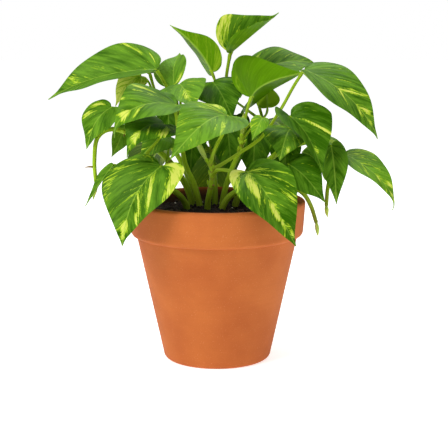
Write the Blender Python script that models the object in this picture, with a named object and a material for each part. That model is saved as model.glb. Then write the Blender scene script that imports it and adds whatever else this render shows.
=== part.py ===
"""Potted pothos: a clay pot with its potting soil, ten vines, and their heart-shaped leaves.

The origin is the centre of the pot's foot, +Z is up, and the front of the plant faces -Y. Sizes
and places below are in millimetres and degrees, and add_mesh turns them into metres.
"""
import math
from typing import NamedTuple

import bpy
import numpy as np

MM = 0.001
GAP = 0.3

# Clay pot, turned about Z.
POT_HEIGHT = 142.0
FOOT_RADIUS = 47.3
SHOULDER_RADIUS = 71.1
SHOULDER_HEIGHT = 111.0
RIM_FOOT_RADIUS = 76.1
RIM_RADIUS = 77.8
MOUTH_RADIUS = 70.0
FLOOR_THICKNESS = 7.0
INNER_FLOOR_RADIUS = 39.5
DRAIN_RADIUS = 9.5
EDGE_ROUNDING = 4.5
LIP_ROUNDING = 2.5
POT_SIDES = 48

# Potting soil.
SOIL_EDGE_HEIGHT = 130.0
SOIL_CROWN = 4.0
SOIL_SIDES = 48
SOIL_RINGS = 3

# Vines and leaf stalks.
VINE_RADIUS = 2.6
VINE_TIP_RADIUS = 1.7
VINE_SIDES = 8
STALK_RADIUS = 1.35
STALK_SIDES = 6
STALK_RINGS = 7
RINGS_PER_SPAN = 2

# Leaf blades.
BLADE_THICKNESS = 1.0
BLADE_ROWS = 9
BLADE_COLUMNS = 4
FAN_ROWS = 0.30
LOBE_SHARE = 0.36
MIDRIB_SOFTNESS = 0.02
MARGIN_CURL = 0.25


class Leaf(NamedTuple):
    """One blade: where its base and tip are, which way it faces, and how it bends."""
    vine: str
    node: float
    base: tuple
    tip: tuple
    face: tuple
    width: float
    fold: float = 12.0
    arch: float = 0.12
    peak: float = 0.42
    twist: float = 0.0
    sweep: float = 0.0
    lobe: float = 0.8
    slim: float = 0.0
    via: tuple = ()


# vine: the vine that carries the leaf, and node: how far along it the stalk starts, 0 to 1.
# base, tip: ends of the midrib. face: compass bearing from +X and height of the upper side.
# width in mm; fold, twist in degrees; arch, sweep as parts of the length; lobe 0 round to 1 heart.
# via: points that the stalk passes through on its way from the vine to the blade.
LEAVES = {
    "leaf_upper_left": Leaf("vine_left", 0.95, (-55, 35, 254), (-154, 50, 226), (-90, 60), 69,
                            fold=26, arch=0.08, peak=0.50, twist=20, lobe=0.5),
    "leaf_folded_left": Leaf("vine_left", 0.90, (-39, 45, 240), (-35, 80, 267), (-125, 35), 38,
                             fold=28, arch=0.10, lobe=0.5),
    "leaf_crown_left": Leaf("vine_back_center", 0.95, (-5, 55, 251), (-43, 60, 293), (62, 22), 36,
                            via=((-4, 57, 214), (-1, 56, 236)),
                            fold=38, arch=0.05, sweep=-0.05, lobe=0.5, slim=0.3),
    "leaf_crown_right": Leaf("vine_back_center", 0.86, (12, 58, 268), (56, 63, 304), (-134, 40), 64,
                             via=((4, 62, 205), (9, 62, 225), (8, 60, 243)),
                             fold=57, arch=0.0, lobe=0.5, slim=0.4),
    "leaf_cupped_right": Leaf("vine_right_tall", 0.90, (30, 20, 230), (78, 45, 251), (124, 10), 77,
                              fold=48, arch=0.20, lobe=1.2),
    "leaf_upper_right": Leaf("vine_back_right", 0.95, (33, 73, 248), (96, 92, 252), (-98, 58), 54,
                             fold=10, arch=0.16, peak=0.55, lobe=0.6,
                             via=((41, 64, 210), (36, 78, 228))),
    "leaf_far_right_high": Leaf("vine_center", 0.75, (78, 30, 254), (143, 20, 193), (-46, 34), 59,
                                fold=14, arch=0.16, peak=0.52, twist=-30, sweep=0.05, lobe=0.3,
                                via=((20, -5, 184), (40, 9, 197), (56, 19, 219), (68, 29, 239))),
    "leaf_mid_left": Leaf("vine_left", 0.80, (-35, -22, 227), (-86, -42, 201), (-90, 60), 60,
                          fold=18, arch=0.30, peak=0.62, twist=30),
    "leaf_pale_left": Leaf("vine_left_trailing", 0.35, (-70, 60, 246), (-94, 60, 219), (-100, 45), 28,
                           fold=12, arch=0.20),
    "leaf_outer_left": Leaf("vine_left_trailing", 0.62, (-93, 10, 222), (-115, 5, 186), (-125, 42), 44,
                            fold=12, arch=0.15),
    "leaf_small_left": Leaf("vine_left_trailing", 0.50, (-83, 27, 204), (-95, 25, 176), (-60, 30), 19,
                            fold=20, arch=0.10, via=((-74, 26, 198), (-80, 33, 203))),
    "leaf_dark_left": Leaf("vine_front_left", 0.75, (-45, -20, 210), (-75, -50, 185), (-100, 45), 56,
                           fold=12, arch=0.32, peak=0.58),
    "leaf_front_left": Leaf("vine_front_left", 0.60, (-47, -45, 177), (-78, -75, 115), (-121, 28), 74,
                            fold=18, arch=0.08, sweep=0.075, slim=-0.25),
    "leaf_small_crown": Leaf("vine_left", 0.85, (-34, 30, 241), (-18, -12, 221), (-110, 60), 45,
                             fold=10, arch=0.10),
    "leaf_dark_center": Leaf("vine_back_center", 0.80, (-4, 44, 242), (14, 14, 211), (-80, 30), 46,
                             fold=6, arch=0.10),
    "leaf_center": Leaf("vine_center", 0.85, (9, -47, 220), (-37, -97, 190), (-70, 64), 55,
                        fold=10, arch=0.14),
    "leaf_small_right": Leaf("vine_right_tall", 0.90, (46, 60, 218), (44, 66, 242), (80, 10), 25,
                             fold=25, arch=0.10, lobe=0.2),
    "leaf_heart_right": Leaf("vine_right", 0.50, (64, -2, 215), (93, -27, 163), (-50, 35), 68,
                             fold=30, arch=0.10, lobe=1.3, slim=1.0,
                             via=((68, 22, 200), (66, 12, 212))),
    "leaf_inner_right": Leaf("vine_right_trailing", 0.45, (64, 6, 203), (54, -22, 179), (-95, 50), 44,
                             fold=12, arch=0.15),
    "leaf_front_right": Leaf("vine_center", 0.60, (26, -60, 174), (65, -88, 117), (-68, 33), 58,
                             fold=20, arch=0.08),
    "leaf_low_right": Leaf("vine_right_trailing", 0.55, (62, -15, 175), (93, -30, 144), (-75, 30), 38,
                           fold=12, arch=0.12),
    "leaf_speckled_right": Leaf("vine_right", 0.62, (101, 11, 188), (105, -6, 138), (-88, 35), 26,
                                fold=10, arch=0.10),
    "leaf_far_right_low": Leaf("vine_right", 0.68, (115, 27, 179), (156, 7, 131), (-50, 38), 38,
                               fold=16, arch=0.24, peak=0.62, sweep=0.08, lobe=0.3),
    "leaf_narrow_left": Leaf("vine_front_left", 1.0, (-90, -10, 174), (-115, -15, 138), (-150, 30), 16,
                             fold=25, arch=0.02, lobe=0.2),
    "leaf_tiny_right": Leaf("vine_right", 0.55, (77, 12, 182), (88, 11, 175), (-90, 40), 12,
                            fold=10, arch=0.10),
    "leaf_young_center": Leaf("vine_right_tall", 0.80, (39, -16, 215), (30, -26, 197), (-90, 40), 16,
                              fold=10, arch=0.10),
    "leaf_shaded_left": Leaf("vine_front_left", 0.50, (-44, 12, 196), (-68, -5, 178), (-90, 45), 30,
                             fold=10, arch=0.15),
    "leaf_shaded_mid": Leaf("vine_back_center", 0.60, (-21, 27, 199), (-24, 17, 163), (-92, 25), 26,
                            fold=12, arch=0.12),
    "leaf_shaded_center": Leaf("vine_back_center", 0.72, (8, 36, 208), (14, 23, 154), (-88, 20), 36,
                               fold=10, arch=0.12),
    "leaf_shaded_right": Leaf("vine_back_right", 0.55, (34, 38, 200), (32, 28, 152), (-90, 20), 32,
                              fold=12, arch=0.12),
    "leaf_shaded_high": Leaf("vine_back_right", 0.75, (17, 50, 211), (21, 43, 186), (-90, 20), 24,
                             fold=10, arch=0.10),
    "leaf_shaded_far_left": Leaf("vine_back_left", 0.75, (-44, 42, 221), (-43, 33, 190), (-95, 22), 22,
                                 fold=10, arch=0.12),
    "leaf_shaded_far_right": Leaf("vine_back_right", 0.55, (60, 31, 196), (61, 22, 154), (-85, 20), 30,
                                  fold=12, arch=0.12),
    "leaf_back_low_left": Leaf("vine_back_left", 0.70, (-46, 60, 185), (-76, 95, 128), (125, 38), 56,
                               fold=14, arch=0.12),
    "leaf_back_low_center": Leaf("vine_back_center", 0.60, (-2, 70, 175), (-8, 98, 108), (95, 35), 50,
                                 fold=16, arch=0.08),
    "leaf_back_low_right": Leaf("vine_back_right", 0.65, (48, 62, 170), (64, 96, 108), (62, 36), 56,
                                fold=14, arch=0.12),
    "leaf_back_side_right": Leaf("vine_back_right", 0.80, (76, 42, 196), (116, 72, 150), (35, 42), 48,
                                 fold=14, arch=0.14),
    "leaf_back_high_left": Leaf("vine_back_left", 0.95, (-62, 60, 250), (-110, 88, 244), (125, 72), 48,
                                fold=12, arch=0.15),
    "leaf_back_center": Leaf("vine_back_center", 0.90, (-12, 62, 214), (-20, 98, 188), (98, 62), 46,
                             fold=12, arch=0.16),
    "leaf_back_high_right": Leaf("vine_back_right", 1.0, (10, 74, 229), (22, 98, 224), (60, 75), 32,
                                 fold=12, arch=0.15, via=((32, 67, 212), (20, 75, 220))),
    "leaf_back_mid_right": Leaf("vine_back_right", 0.90, (46, 64, 206), (72, 96, 178), (60, 55), 48,
                                fold=12, arch=0.14),
    "leaf_back_mid_left": Leaf("vine_back_left", 0.85, (-56, 64, 216), (-88, 94, 186), (120, 55), 46,
                               fold=12, arch=0.14),
}

# Vines: the points that each stem passes through, from under the soil to its growing end.
VINES = {
    "vine_center": [(-9, -8, 121), (-8, -11, 140), (-5, -18, 158), (-4, -22, 171), (-9, -22, 180)],
    "vine_right_tall": [(3, 3, 121), (6, 4, 145), (13, 6, 168), (21, 8, 186), (22, 4, 199)],
    "vine_left": [(-12, 5, 121), (-19, 6, 150), (-28, 7, 172), (-31, 9, 188), (-35, 14, 206)],
    "vine_front_left": [(-24, -4, 121), (-28, -7, 140), (-38, -13, 152), (-54, -16, 163),
                        (-72, -15, 170), (-86, -11, 168)],
    "vine_left_trailing": [(-19, 13, 121), (-27, 15, 150), (-45, 18, 176), (-70, 16, 195),
                           (-92, 10, 203), (-105, 6, 196), (-108, 4, 176), (-107, 2, 158)],
    "vine_right_trailing": [(2, -9, 121), (5, -11, 137), (14, -14, 149), (35, -16, 158),
                            (58, -14, 158), (74, -11, 150), (82, -9, 138), (87, -8, 123)],
    "vine_right": [(12, 7, 121), (20, 9, 145), (38, 13, 168), (60, 18, 184), (84, 24, 190),
                   (99, 26, 181), (102, 24, 164), (99, 19, 148), (98, 17, 134)],
    "vine_back_center": [(-2, 16, 121), (-2, 20, 145), (-3, 32, 165), (-5, 46, 182), (-6, 52, 196)],
    "vine_back_left": [(-16, 23, 121), (-22, 29, 145), (-32, 40, 168), (-44, 50, 188),
                       (-52, 55, 206)],
    "vine_back_right": [(14, 20, 121), (20, 26, 145), (30, 37, 168), (40, 48, 188), (44, 54, 204)],
}

# Rolled new leaves: the vine end each one grows from, the way it leans, its length and radius.
NEW_LEAVES = {
    "new_leaf_center": ("vine_center", (-0.50, 0.10, 1.0), 26.0, 2.2),
    "new_leaf_right_tall": ("vine_right_tall", (0.05, -0.60, 1.0), 22.0, 2.0),
    "new_leaf_left_tip": ("vine_left_trailing", (-0.15, -0.10, -1.0), 16.0, 1.8),
    "new_leaf_right_tip": ("vine_right_trailing", (0.15, 0.10, -1.0), 12.0, 1.7),
    "new_leaf_right_short": ("vine_right", (0.10, -0.10, -1.0), 10.0, 1.7),
}
NEW_LEAF_RINGS = 7
NEW_LEAF_SIDES = 8

CLAY = ("terracotta", (0.60, 0.25, 0.11), 0.85)
SOIL = ("potting_soil", (0.035, 0.022, 0.014), 0.95)
STEM = ("green_stem", (0.20, 0.34, 0.05), 0.45)
BLADE = ("pothos_leaf", (0.10, 0.28, 0.03), 0.35)
YOUNG_BLADE = ("young_leaf", (0.40, 0.52, 0.12), 0.40)


def clear_scene():
    """Remove every object, so that the script always starts from an empty scene."""
    for item in list(bpy.data.objects):
        bpy.data.objects.remove(item, do_unlink=True)


def material(spec):
    """Return the material of a (name, linear colour, roughness) triple, made once."""
    name, colour, roughness = spec
    found = bpy.data.materials.get(name)
    if found:
        return found
    made = bpy.data.materials.new(name)
    made.use_nodes = True
    shader = made.node_tree.nodes["Principled BSDF"]
    shader.inputs["Base Color"].default_value = (*colour, 1.0)
    shader.inputs["Roughness"].default_value = roughness
    made.diffuse_color = (*colour, 1.0)
    return made


def add_mesh(name, vertices, faces, spec):
    """Make a smooth-shaded object from points in millimetres and lists of corner numbers."""
    mesh = bpy.data.meshes.new(name)
    mesh.from_pydata((np.asarray(vertices) * MM).tolist(), [], faces)
    mesh.validate()
    mesh.shade_smooth()
    mesh.set_sharp_from_angle(angle=math.radians(40))
    mesh.materials.append(material(spec))
    item = bpy.data.objects.new(name, mesh)
    bpy.context.collection.objects.link(item)
    return item


def combine(target, tool, operation):
    """Join or cut target with tool by an exact Boolean, keep the result and drop the tool."""
    tool.hide_render = True
    tool.display_type = "WIRE"
    step = target.modifiers.new("combine", "BOOLEAN")
    step.operation = operation
    step.solver = "EXACT"
    step.object = tool
    graph = bpy.context.evaluated_depsgraph_get()
    result = bpy.data.meshes.new_from_object(target.evaluated_get(graph))
    target.modifiers.remove(step)
    target.data = result
    bpy.data.objects.remove(tool, do_unlink=True)


def unit(vectors):
    """Scale each vector to length 1."""
    vectors = np.asarray(vectors, float)
    return vectors / np.linalg.norm(vectors, axis=-1, keepdims=True)


def cubic(corners, t):
    """Points of a cubic Bezier curve: the corners weighted by the binomial terms of t."""
    a, b, c, d = (np.asarray(corner, float) for corner in corners)
    t = np.asarray(t, float)[..., None]
    return (1 - t) ** 3 * a + 3 * t * (1 - t) ** 2 * b + 3 * t * t * (1 - t) * c + t ** 3 * d


def smooth_curve(points, per_span):
    """Catmull-Rom curve through the points, with per_span steps from each to the next."""
    knots = np.asarray(points, float)
    knots = np.vstack([2 * knots[0] - knots[1], knots, 2 * knots[-1] - knots[-2]])
    spans = []
    for first in range(len(knots) - 3):
        p, q, r, s = knots[first:first + 4]
        t = (np.arange(per_span) / per_span)[:, None]
        spans.append(0.5 * (2 * q + (r - p) * t + (2 * p - 5 * q + 4 * r - s) * t ** 2
                            + (3 * q - p - 3 * r + s) * t ** 3))
    return np.vstack(spans + [knots[-2:-1]])


def half_outline(u, lobe, slim):
    """Half of the blade's outline for u 0 to 1, as (across, along) for a leaf of length 1.

    One Bezier arc runs round the basal lobe to the widest point, and a second one runs from
    there to the drip tip. lobe deepens the heart, and slim draws the tip out.
    """
    widest = (0.45, 0.26 - 0.06 * lobe)
    round_lobe = [(0.03, -0.03 * lobe), (0.12, -0.17 * lobe), (0.36 + 0.07 * lobe, -0.15 * lobe),
                  widest]
    to_tip = [widest, (0.47 - 0.07 * slim, 0.55 - 0.03 * lobe - 0.12 * slim),
              (0.10 - 0.05 * slim, 0.74 - 0.10 * slim), (0.004, 1.0)]
    near_base = cubic(round_lobe, np.clip(u / LOBE_SHARE, 0, 1))
    near_tip = cubic(to_tip, np.clip((u - LOBE_SHARE) / (1 - LOBE_SHARE), 0, 1))
    return np.where((u < LOBE_SHARE)[..., None], near_base, near_tip)


def flat_blade(u, v, ratio, lobe, slim):
    """The blade laid flat: rows of u follow the side veins, v is -1 to 1 from margin to margin.

    Each row is a quadratic curve that leaves the midrib, bends towards the tip as a vein does,
    and meets the outline. The rows of the lobes fan out of the base. ratio is width to length.
    """
    margin = half_outline(u, lobe, slim)
    margin_x = margin[..., 0] * ratio / 0.9
    margin_y = margin[..., 1]
    rib_y = np.where(u < FAN_ROWS, 0.02 * u / FAN_ROWS,
                     0.02 + 0.98 * np.clip((u - FAN_ROWS) / (1 - FAN_ROWS), 0, 1) ** 1.1)
    a = np.abs(v)
    across = 2 * a * (1 - a) * 0.55 * margin_x + a ** 2 * margin_x
    along = (1 - a) ** 2 * rib_y + 2 * a * (1 - a) * (0.7 * rib_y + 0.3 * margin_y) + a ** 2 * margin_y
    return np.sign(v) * across, along


def blade_axes(leaf):
    """Length, midrib direction, upper-side normal and rightward direction of a blade."""
    base, tip = np.array(leaf.base, float), np.array(leaf.tip, float)
    length = np.linalg.norm(tip - base)
    along = (tip - base) / length
    bearing, height = np.radians(leaf.face)
    facing = np.array([math.cos(height) * math.cos(bearing), math.cos(height) * math.sin(bearing),
                       math.sin(height)])
    normal = unit(facing - (facing @ along) * along)
    return length, along, normal, np.cross(along, normal)


def blade_surface(leaf, rows, columns):
    """Middle surface of a blade as a (rows + 1, columns + 1, 3) grid.

    The flat blade is folded up along its midrib, its margins curl down with the square of the
    distance from it, the cross-section turns by twist from base to tip, and the midrib rises
    in an arch whose top is at peak.
    """
    length, along, normal, right = blade_axes(leaf)
    u, v = np.meshgrid(np.linspace(0, 1, rows + 1), np.linspace(-1, 1, columns + 1), indexing="ij")
    x, y = flat_blade(u, v, leaf.width / length, leaf.lobe, leaf.slim)
    ahead = np.maximum(y, 0)
    power = (1 - leaf.peak) / leaf.peak
    top = leaf.peak * (1 - leaf.peak) ** power
    rise = leaf.arch / top * (ahead * (1 - ahead) ** power + 0.4 * np.minimum(y, 0))
    fold = math.radians(leaf.fold)
    lift = math.tan(fold) * (np.sqrt(x ** 2 + MIDRIB_SOFTNESS ** 2) - MIDRIB_SOFTNESS)
    lift = (lift - MARGIN_CURL * x ** 2) * math.cos(fold)
    x = x * math.cos(fold)
    turn = math.radians(leaf.twist) * (y - 0.4)
    side = x * np.cos(turn) - lift * np.sin(turn) + leaf.sweep * 4 * ahead * (1 - ahead)
    up = x * np.sin(turn) + lift * np.cos(turn) + rise
    grid = y[..., None] * along + side[..., None] * right + up[..., None] * normal
    return np.array(leaf.base) + length * grid


def slab(surface, thickness):
    """Closed sheet around a grid surface: the grid moved up and down its normals, and a rim."""
    rows, columns = surface.shape[0], surface.shape[1]
    down_rows = np.gradient(surface, axis=0)
    down_columns = np.gradient(surface, axis=1)
    normals = unit(np.cross(down_columns, down_rows))
    points = np.concatenate([(surface + normals * thickness / 2).reshape(-1, 3),
                             (surface - normals * thickness / 2).reshape(-1, 3)])
    index = np.arange(rows * columns).reshape(rows, columns)
    quads = np.stack([index[:-1, :-1], index[:-1, 1:], index[1:, 1:], index[1:, :-1]], -1).reshape(-1, 4)
    ring = np.concatenate([index[0, :-1], index[:-1, -1], index[-1, :0:-1], index[:0:-1, 0]])
    after = np.roll(ring, -1)
    below = rows * columns
    rim = np.stack([after, ring, ring + below, after + below], -1)
    faces = np.concatenate([quads, quads[:, ::-1] + below, rim])
    return points, faces.tolist()


def tube(path, radii, sides):
    """Closed tube: a ring of points round each point of the path, and a flat cap at each end."""
    path = np.asarray(path, float)
    tangents = unit(np.gradient(path, axis=0))
    axes = np.eye(3)
    clear = [np.abs(np.cross(tangents, axis)).sum(1).min() for axis in axes]
    side = unit(np.cross(tangents, axes[int(np.argmax(clear))]))
    other = np.cross(tangents, side)
    turn = np.linspace(0, 2 * math.pi, sides, endpoint=False)[None, :, None]
    rings = (path[:, None] + np.asarray(radii)[:, None, None]
             * (np.cos(turn) * side[:, None] + np.sin(turn) * other[:, None]))
    index = np.arange(len(path) * sides).reshape(len(path), sides)
    after = np.roll(index, -1, axis=1)
    walls = np.stack([index[:-1], after[:-1], after[1:], index[1:]], -1).reshape(-1, 4)
    return rings.reshape(-1, 3), walls.tolist() + [index[0, ::-1].tolist(), index[-1].tolist()]


def vine_path(name):
    """Centre line and radius of a vine, thinner towards its end, which is rounded off."""
    path = smooth_curve(VINES[name], RINGS_PER_SPAN)
    radii = np.linspace(VINE_RADIUS, VINE_TIP_RADIUS, len(path))
    end = unit(path[-1] - path[-2]) * VINE_TIP_RADIUS
    path = np.vstack([path, path[-1] + 0.6 * end, path[-1] + 0.95 * end])
    return path, np.append(radii, [0.8 * VINE_TIP_RADIUS, 0.35 * VINE_TIP_RADIUS])


def stalk_path(leaf):
    """Centre line and radius of a leaf's stalk, from the middle of its vine to the blade.

    It leaves the vine upwards, and comes to the blade from below, or in line with the midrib
    on a blade that stands up. A stalk with via points is a smooth curve through them instead.
    """
    length, along, normal, right = blade_axes(leaf)
    vine = smooth_curve(VINES[leaf.vine], 8)
    start = vine[int(round(leaf.node * (len(vine) - 1)))]
    arrive = unit(normal + (0.25 + 2 * max(0.0, along[2])) * along)
    end = np.array(leaf.base) - arrive * (BLADE_THICKNESS / 2 * (arrive @ normal) + 2.6 * GAP)
    reach = np.linalg.norm(end - start)
    leave = start + unit(0.4 * unit(end - start) + (0, 0, 1)) * 0.35 * reach
    if leaf.via:
        path = smooth_curve([start, *leaf.via, end], RINGS_PER_SPAN)
    else:
        steps = np.linspace(0, 1, STALK_RINGS + 1)
        path = cubic([start, leave, end - arrive * 0.30 * reach, end], steps)
    radii = np.full(len(path), STALK_RADIUS)
    radii[-1] = 0.6 * STALK_RADIUS
    return path, radii


def turned(name, profile, sides, spec):
    """Turn a closed (radius, height) outline, listed anticlockwise, once round the Z axis."""
    profile = np.asarray(profile, float)
    turn = np.linspace(0, 2 * math.pi, sides, endpoint=False)[:, None]
    points = np.stack([profile[:, 0] * np.cos(turn), profile[:, 0] * np.sin(turn),
                       np.broadcast_to(profile[:, 1], (sides, len(profile)))], -1)
    index = np.arange(sides * len(profile)).reshape(sides, len(profile))
    across, onward = np.roll(index, -1, axis=0), np.roll(index, -1, axis=1)
    both = np.roll(across, -1, axis=1)
    faces = np.stack([index, across, both, onward], -1).reshape(-1, 4)
    return add_mesh(name, points.reshape(-1, 3), faces.tolist(), spec)


def inner_radius(height):
    """Radius of the pot's inner wall, which tapers from the mouth to the floor."""
    share = (height - FLOOR_THICKNESS) / (POT_HEIGHT - FLOOR_THICKNESS)
    return INNER_FLOOR_RADIUS + (MOUTH_RADIUS - INNER_FLOOR_RADIUS) * share


def build_pot():
    """Clay pot: tapered wall, thick rim with a rounded lower edge, floor with a drain hole."""
    edge = EDGE_ROUNDING
    corner = math.sqrt(0.5)
    profile = [
        (DRAIN_RADIUS, 0), (FOOT_RADIUS - edge, 0),
        (FOOT_RADIUS - edge * (1 - corner), edge * (1 - corner)), (FOOT_RADIUS + 0.9, edge),
        (SHOULDER_RADIUS, SHOULDER_HEIGHT), (RIM_FOOT_RADIUS - edge, SHOULDER_HEIGHT),
        (RIM_FOOT_RADIUS - edge * (1 - corner), SHOULDER_HEIGHT + edge * (1 - corner)),
        (RIM_FOOT_RADIUS, SHOULDER_HEIGHT + edge), (RIM_RADIUS, POT_HEIGHT - LIP_ROUNDING),
        (RIM_RADIUS - LIP_ROUNDING * (1 - corner), POT_HEIGHT - LIP_ROUNDING * (1 - corner)),
        (RIM_RADIUS - LIP_ROUNDING, POT_HEIGHT), (MOUTH_RADIUS + LIP_ROUNDING, POT_HEIGHT),
        (MOUTH_RADIUS + 0.5, POT_HEIGHT - LIP_ROUNDING * 0.6),
        (inner_radius(POT_HEIGHT - 2 * LIP_ROUNDING), POT_HEIGHT - 2 * LIP_ROUNDING),
        (INNER_FLOOR_RADIUS, FLOOR_THICKNESS), (DRAIN_RADIUS, FLOOR_THICKNESS),
    ]
    return turned("pot", profile, POT_SIDES, CLAY)


def build_soil():
    """Potting soil: fills the pot to a low mound, with a pocket for the foot of each vine."""
    bottom = FLOOR_THICKNESS + GAP
    edge_radius = inner_radius(SOIL_EDGE_HEIGHT) - GAP
    rows = [(inner_radius(bottom) - GAP, bottom), (edge_radius, SOIL_EDGE_HEIGHT)]
    for ring in range(1, SOIL_RINGS):
        share = 1 - ring / SOIL_RINGS
        rows.append((edge_radius * share, SOIL_EDGE_HEIGHT + SOIL_CROWN * (1 - share ** 2)))
    radius, height = np.array(rows).T
    turn = np.linspace(0, 2 * math.pi, SOIL_SIDES, endpoint=False)
    rings = np.stack([radius[:, None] * np.cos(turn), radius[:, None] * np.sin(turn),
                      np.broadcast_to(height[:, None], (len(rows), SOIL_SIDES))], -1).reshape(-1, 3)
    points = np.vstack([rings, [(0, 0, SOIL_EDGE_HEIGHT + SOIL_CROWN), (0, 0, bottom)]])
    index = np.arange(len(rows) * SOIL_SIDES).reshape(len(rows), SOIL_SIDES)
    after = np.roll(index, -1, axis=1)
    walls = np.stack([index[:-1], after[:-1], after[1:], index[1:]], -1).reshape(-1, 4).tolist()
    crown, middle = len(rings), len(rings) + 1
    top = [[a, b, crown] for a, b in zip(index[-1].tolist(), after[-1].tolist())]
    under = [[b, a, middle] for a, b in zip(index[0].tolist(), after[0].tolist())]
    soil = add_mesh("soil", points, walls + top + under, SOIL)
    for name in VINES:
        path, radii = vine_path(name)
        foot = path[0] - unit(path[1] - path[0]) * GAP
        pocket = tube(np.vstack([foot, path[1:6]]), radii[:6] + 1.3 * GAP, VINE_SIDES)
        combine(soil, add_mesh("pocket", *pocket, SOIL), "DIFFERENCE")
    return soil


def build_vine(name):
    """One vine: its stem and the stalks of its leaves, joined into one solid."""
    path, radii = vine_path(name)
    vine = add_mesh(name, *tube(path, radii, VINE_SIDES), STEM)
    for leaf_name, leaf in LEAVES.items():
        if leaf.vine == name:
            stalk = add_mesh("stalk_of_" + leaf_name, *tube(*stalk_path(leaf), STALK_SIDES), STEM)
            combine(vine, stalk, "UNION")
    return vine


def build_leaf(name):
    """One leaf blade as a thin closed sheet."""
    surface = blade_surface(LEAVES[name], BLADE_ROWS, BLADE_COLUMNS)
    return add_mesh(name, *slab(surface, BLADE_THICKNESS), BLADE)


def build_new_leaf(name):
    """A rolled young leaf: a slim spindle that starts just past the end of its vine."""
    vine, lean, length, radius = NEW_LEAVES[name]
    path, radii = vine_path(vine)
    start = path[-1] + unit(path[-1] - path[-2]) * GAP
    heading = unit(path[-1] - path[-2])
    reach = np.linspace(0, 1, NEW_LEAF_RINGS + 1)
    centre = cubic([start, start + heading * length * 0.3, start + unit(lean) * length * 0.7,
                    start + unit(lean) * length], reach)
    girth = radius * (0.35 + 2.2 * reach ** 0.7 * (1 - reach) ** 0.9)
    girth = girth * (1 - reach ** 6) + 0.25 * reach ** 6
    return add_mesh(name, *tube(centre, girth, NEW_LEAF_SIDES), YOUNG_BLADE)


def main():
    """Build the pot, the soil, the vines with their stalks, the blades and the new leaves."""
    clear_scene()
    build_pot()
    build_soil()
    for name in VINES:
        build_vine(name)
    for name in LEAVES:
        build_leaf(name)
    for name in NEW_LEAVES:
        build_new_leaf(name)


main()
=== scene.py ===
"""Looks of a potted pothos: finely modelled leaves, stems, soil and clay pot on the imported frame.

Places and sizes are in millimetres and degrees, as in the part's own source, and put_mesh turns
them into metres. Only the stage's are in metres from the start. Leaves, stems, pot and soil are
surfaces worked out with numpy on grids of two parameters, and loose crumbs are icosahedra.
"""
import math
from functools import partial
from typing import NamedTuple

import bpy
import numpy as np
from bpy.props import (BoolProperty, FloatProperty, FloatVectorProperty, IntProperty,
                       PointerProperty)
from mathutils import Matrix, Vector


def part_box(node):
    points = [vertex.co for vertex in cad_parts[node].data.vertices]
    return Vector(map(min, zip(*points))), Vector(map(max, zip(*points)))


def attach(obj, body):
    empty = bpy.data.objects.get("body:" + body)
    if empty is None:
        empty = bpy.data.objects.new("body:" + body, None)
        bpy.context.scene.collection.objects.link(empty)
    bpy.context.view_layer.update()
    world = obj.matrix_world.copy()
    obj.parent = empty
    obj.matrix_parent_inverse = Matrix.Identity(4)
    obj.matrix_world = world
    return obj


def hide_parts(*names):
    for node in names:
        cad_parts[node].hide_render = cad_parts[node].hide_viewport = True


bl_info = {
    "name": "Potted Pothos",
    "version": (1, 0, 0),
    "blender": (4, 5, 0),
    "location": "3D View > Sidebar > Pothos",
    "description": "Builds the leaves, stems, soil and clay pot of a potted pothos",
    "category": "Object",
}

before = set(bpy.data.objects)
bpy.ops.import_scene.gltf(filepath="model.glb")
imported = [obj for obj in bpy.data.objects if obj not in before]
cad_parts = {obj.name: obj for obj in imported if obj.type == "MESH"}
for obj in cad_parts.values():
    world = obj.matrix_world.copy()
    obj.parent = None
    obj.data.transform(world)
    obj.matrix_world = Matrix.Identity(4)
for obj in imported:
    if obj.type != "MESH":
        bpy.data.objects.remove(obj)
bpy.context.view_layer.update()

MM = 0.001
BODY = "root"
TAU = 2 * math.pi
# The part's own sheet thickness and the gap that it keeps between neighbours.
CAD_THICKNESS = 1.0
GAP = 0.3

# Clay pot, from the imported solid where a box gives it.
POT_LOW, POT_HIGH = (np.array(corner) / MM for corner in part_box("pot"))
POT_HEIGHT = POT_HIGH[2] - POT_LOW[2]
RIM_RADIUS = (POT_HIGH[0] - POT_LOW[0]) / 2
FOOT_RADIUS = 47.3
SHOULDER_RADIUS = 71.1
SHOULDER_HEIGHT = 111.0
RIM_FOOT_RADIUS = 76.1
MOUTH_RADIUS = 70.0
FLOOR_THICKNESS = 7.0
INNER_FLOOR_RADIUS = 39.5
DRAIN_RADIUS = 9.5
EDGE_ROUNDING = 4.5
LIP_ROUNDING = 2.5
POT_WOBBLE = 0.06
# Less than the wall's thickness anywhere, to tell the outside from the inside.
THINNEST_WALL = 2.5
# How much lighter the inner wall's wetness and painted shade are at the rim than at the soil.
RIM_FADE_OF_DAMP_AND_SHADE = 0.7
POT_SIDES = 240

# Potting soil.
SOIL_EDGE_HEIGHT = 130.0
SOIL_CROWN = 4.0
SOIL_SIDES = 240
SOIL_RINGS = 90
# Sets of lumps: how far apart they are, and their share of the lumps' height.
SOIL_WAVES = ((31, 0.40), (13.7, 0.32), (6.1, 0.28), (2.9, 0.20))
# The soil rises round each vine, by a bell of this height and width.
VINE_RISE = 1.2
VINE_RISE_REACH = 5.477
# Crumbs keep this far from the pot.
SCATTER_MARGIN = 3.0

# Vines, with a bud and a scar at each leaf, and air roots.
VINE_RADIUS = 3.1
VINE_TIP_RADIUS = 1.7
VINE_STEP = 1.2
VINE_SIDES = 20
# Past its end a vine closes in steps, as shares of its tip radius: how far on, and how wide.
TIP_STEPS = (0.5, 0.8, 0.95)
TIP_RADII = (0.85, 0.58, 0.30)
NODE_SWELLING = 0.45
NODE_LENGTH = 2.4
SCAR_DEPTH = 0.22
SCAR_LENGTH = 0.7
SCAR_BELOW = 2.2
SCAR_SHADE = 0.75
SCAR_SHADE_LENGTH = 0.8
BUD_LENGTH = 5.5
BUD_RADIUS = 1.35
BUD_RINGS = 10
ROOT_RADIUS = 0.95
ROOT_RINGS = 12
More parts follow.
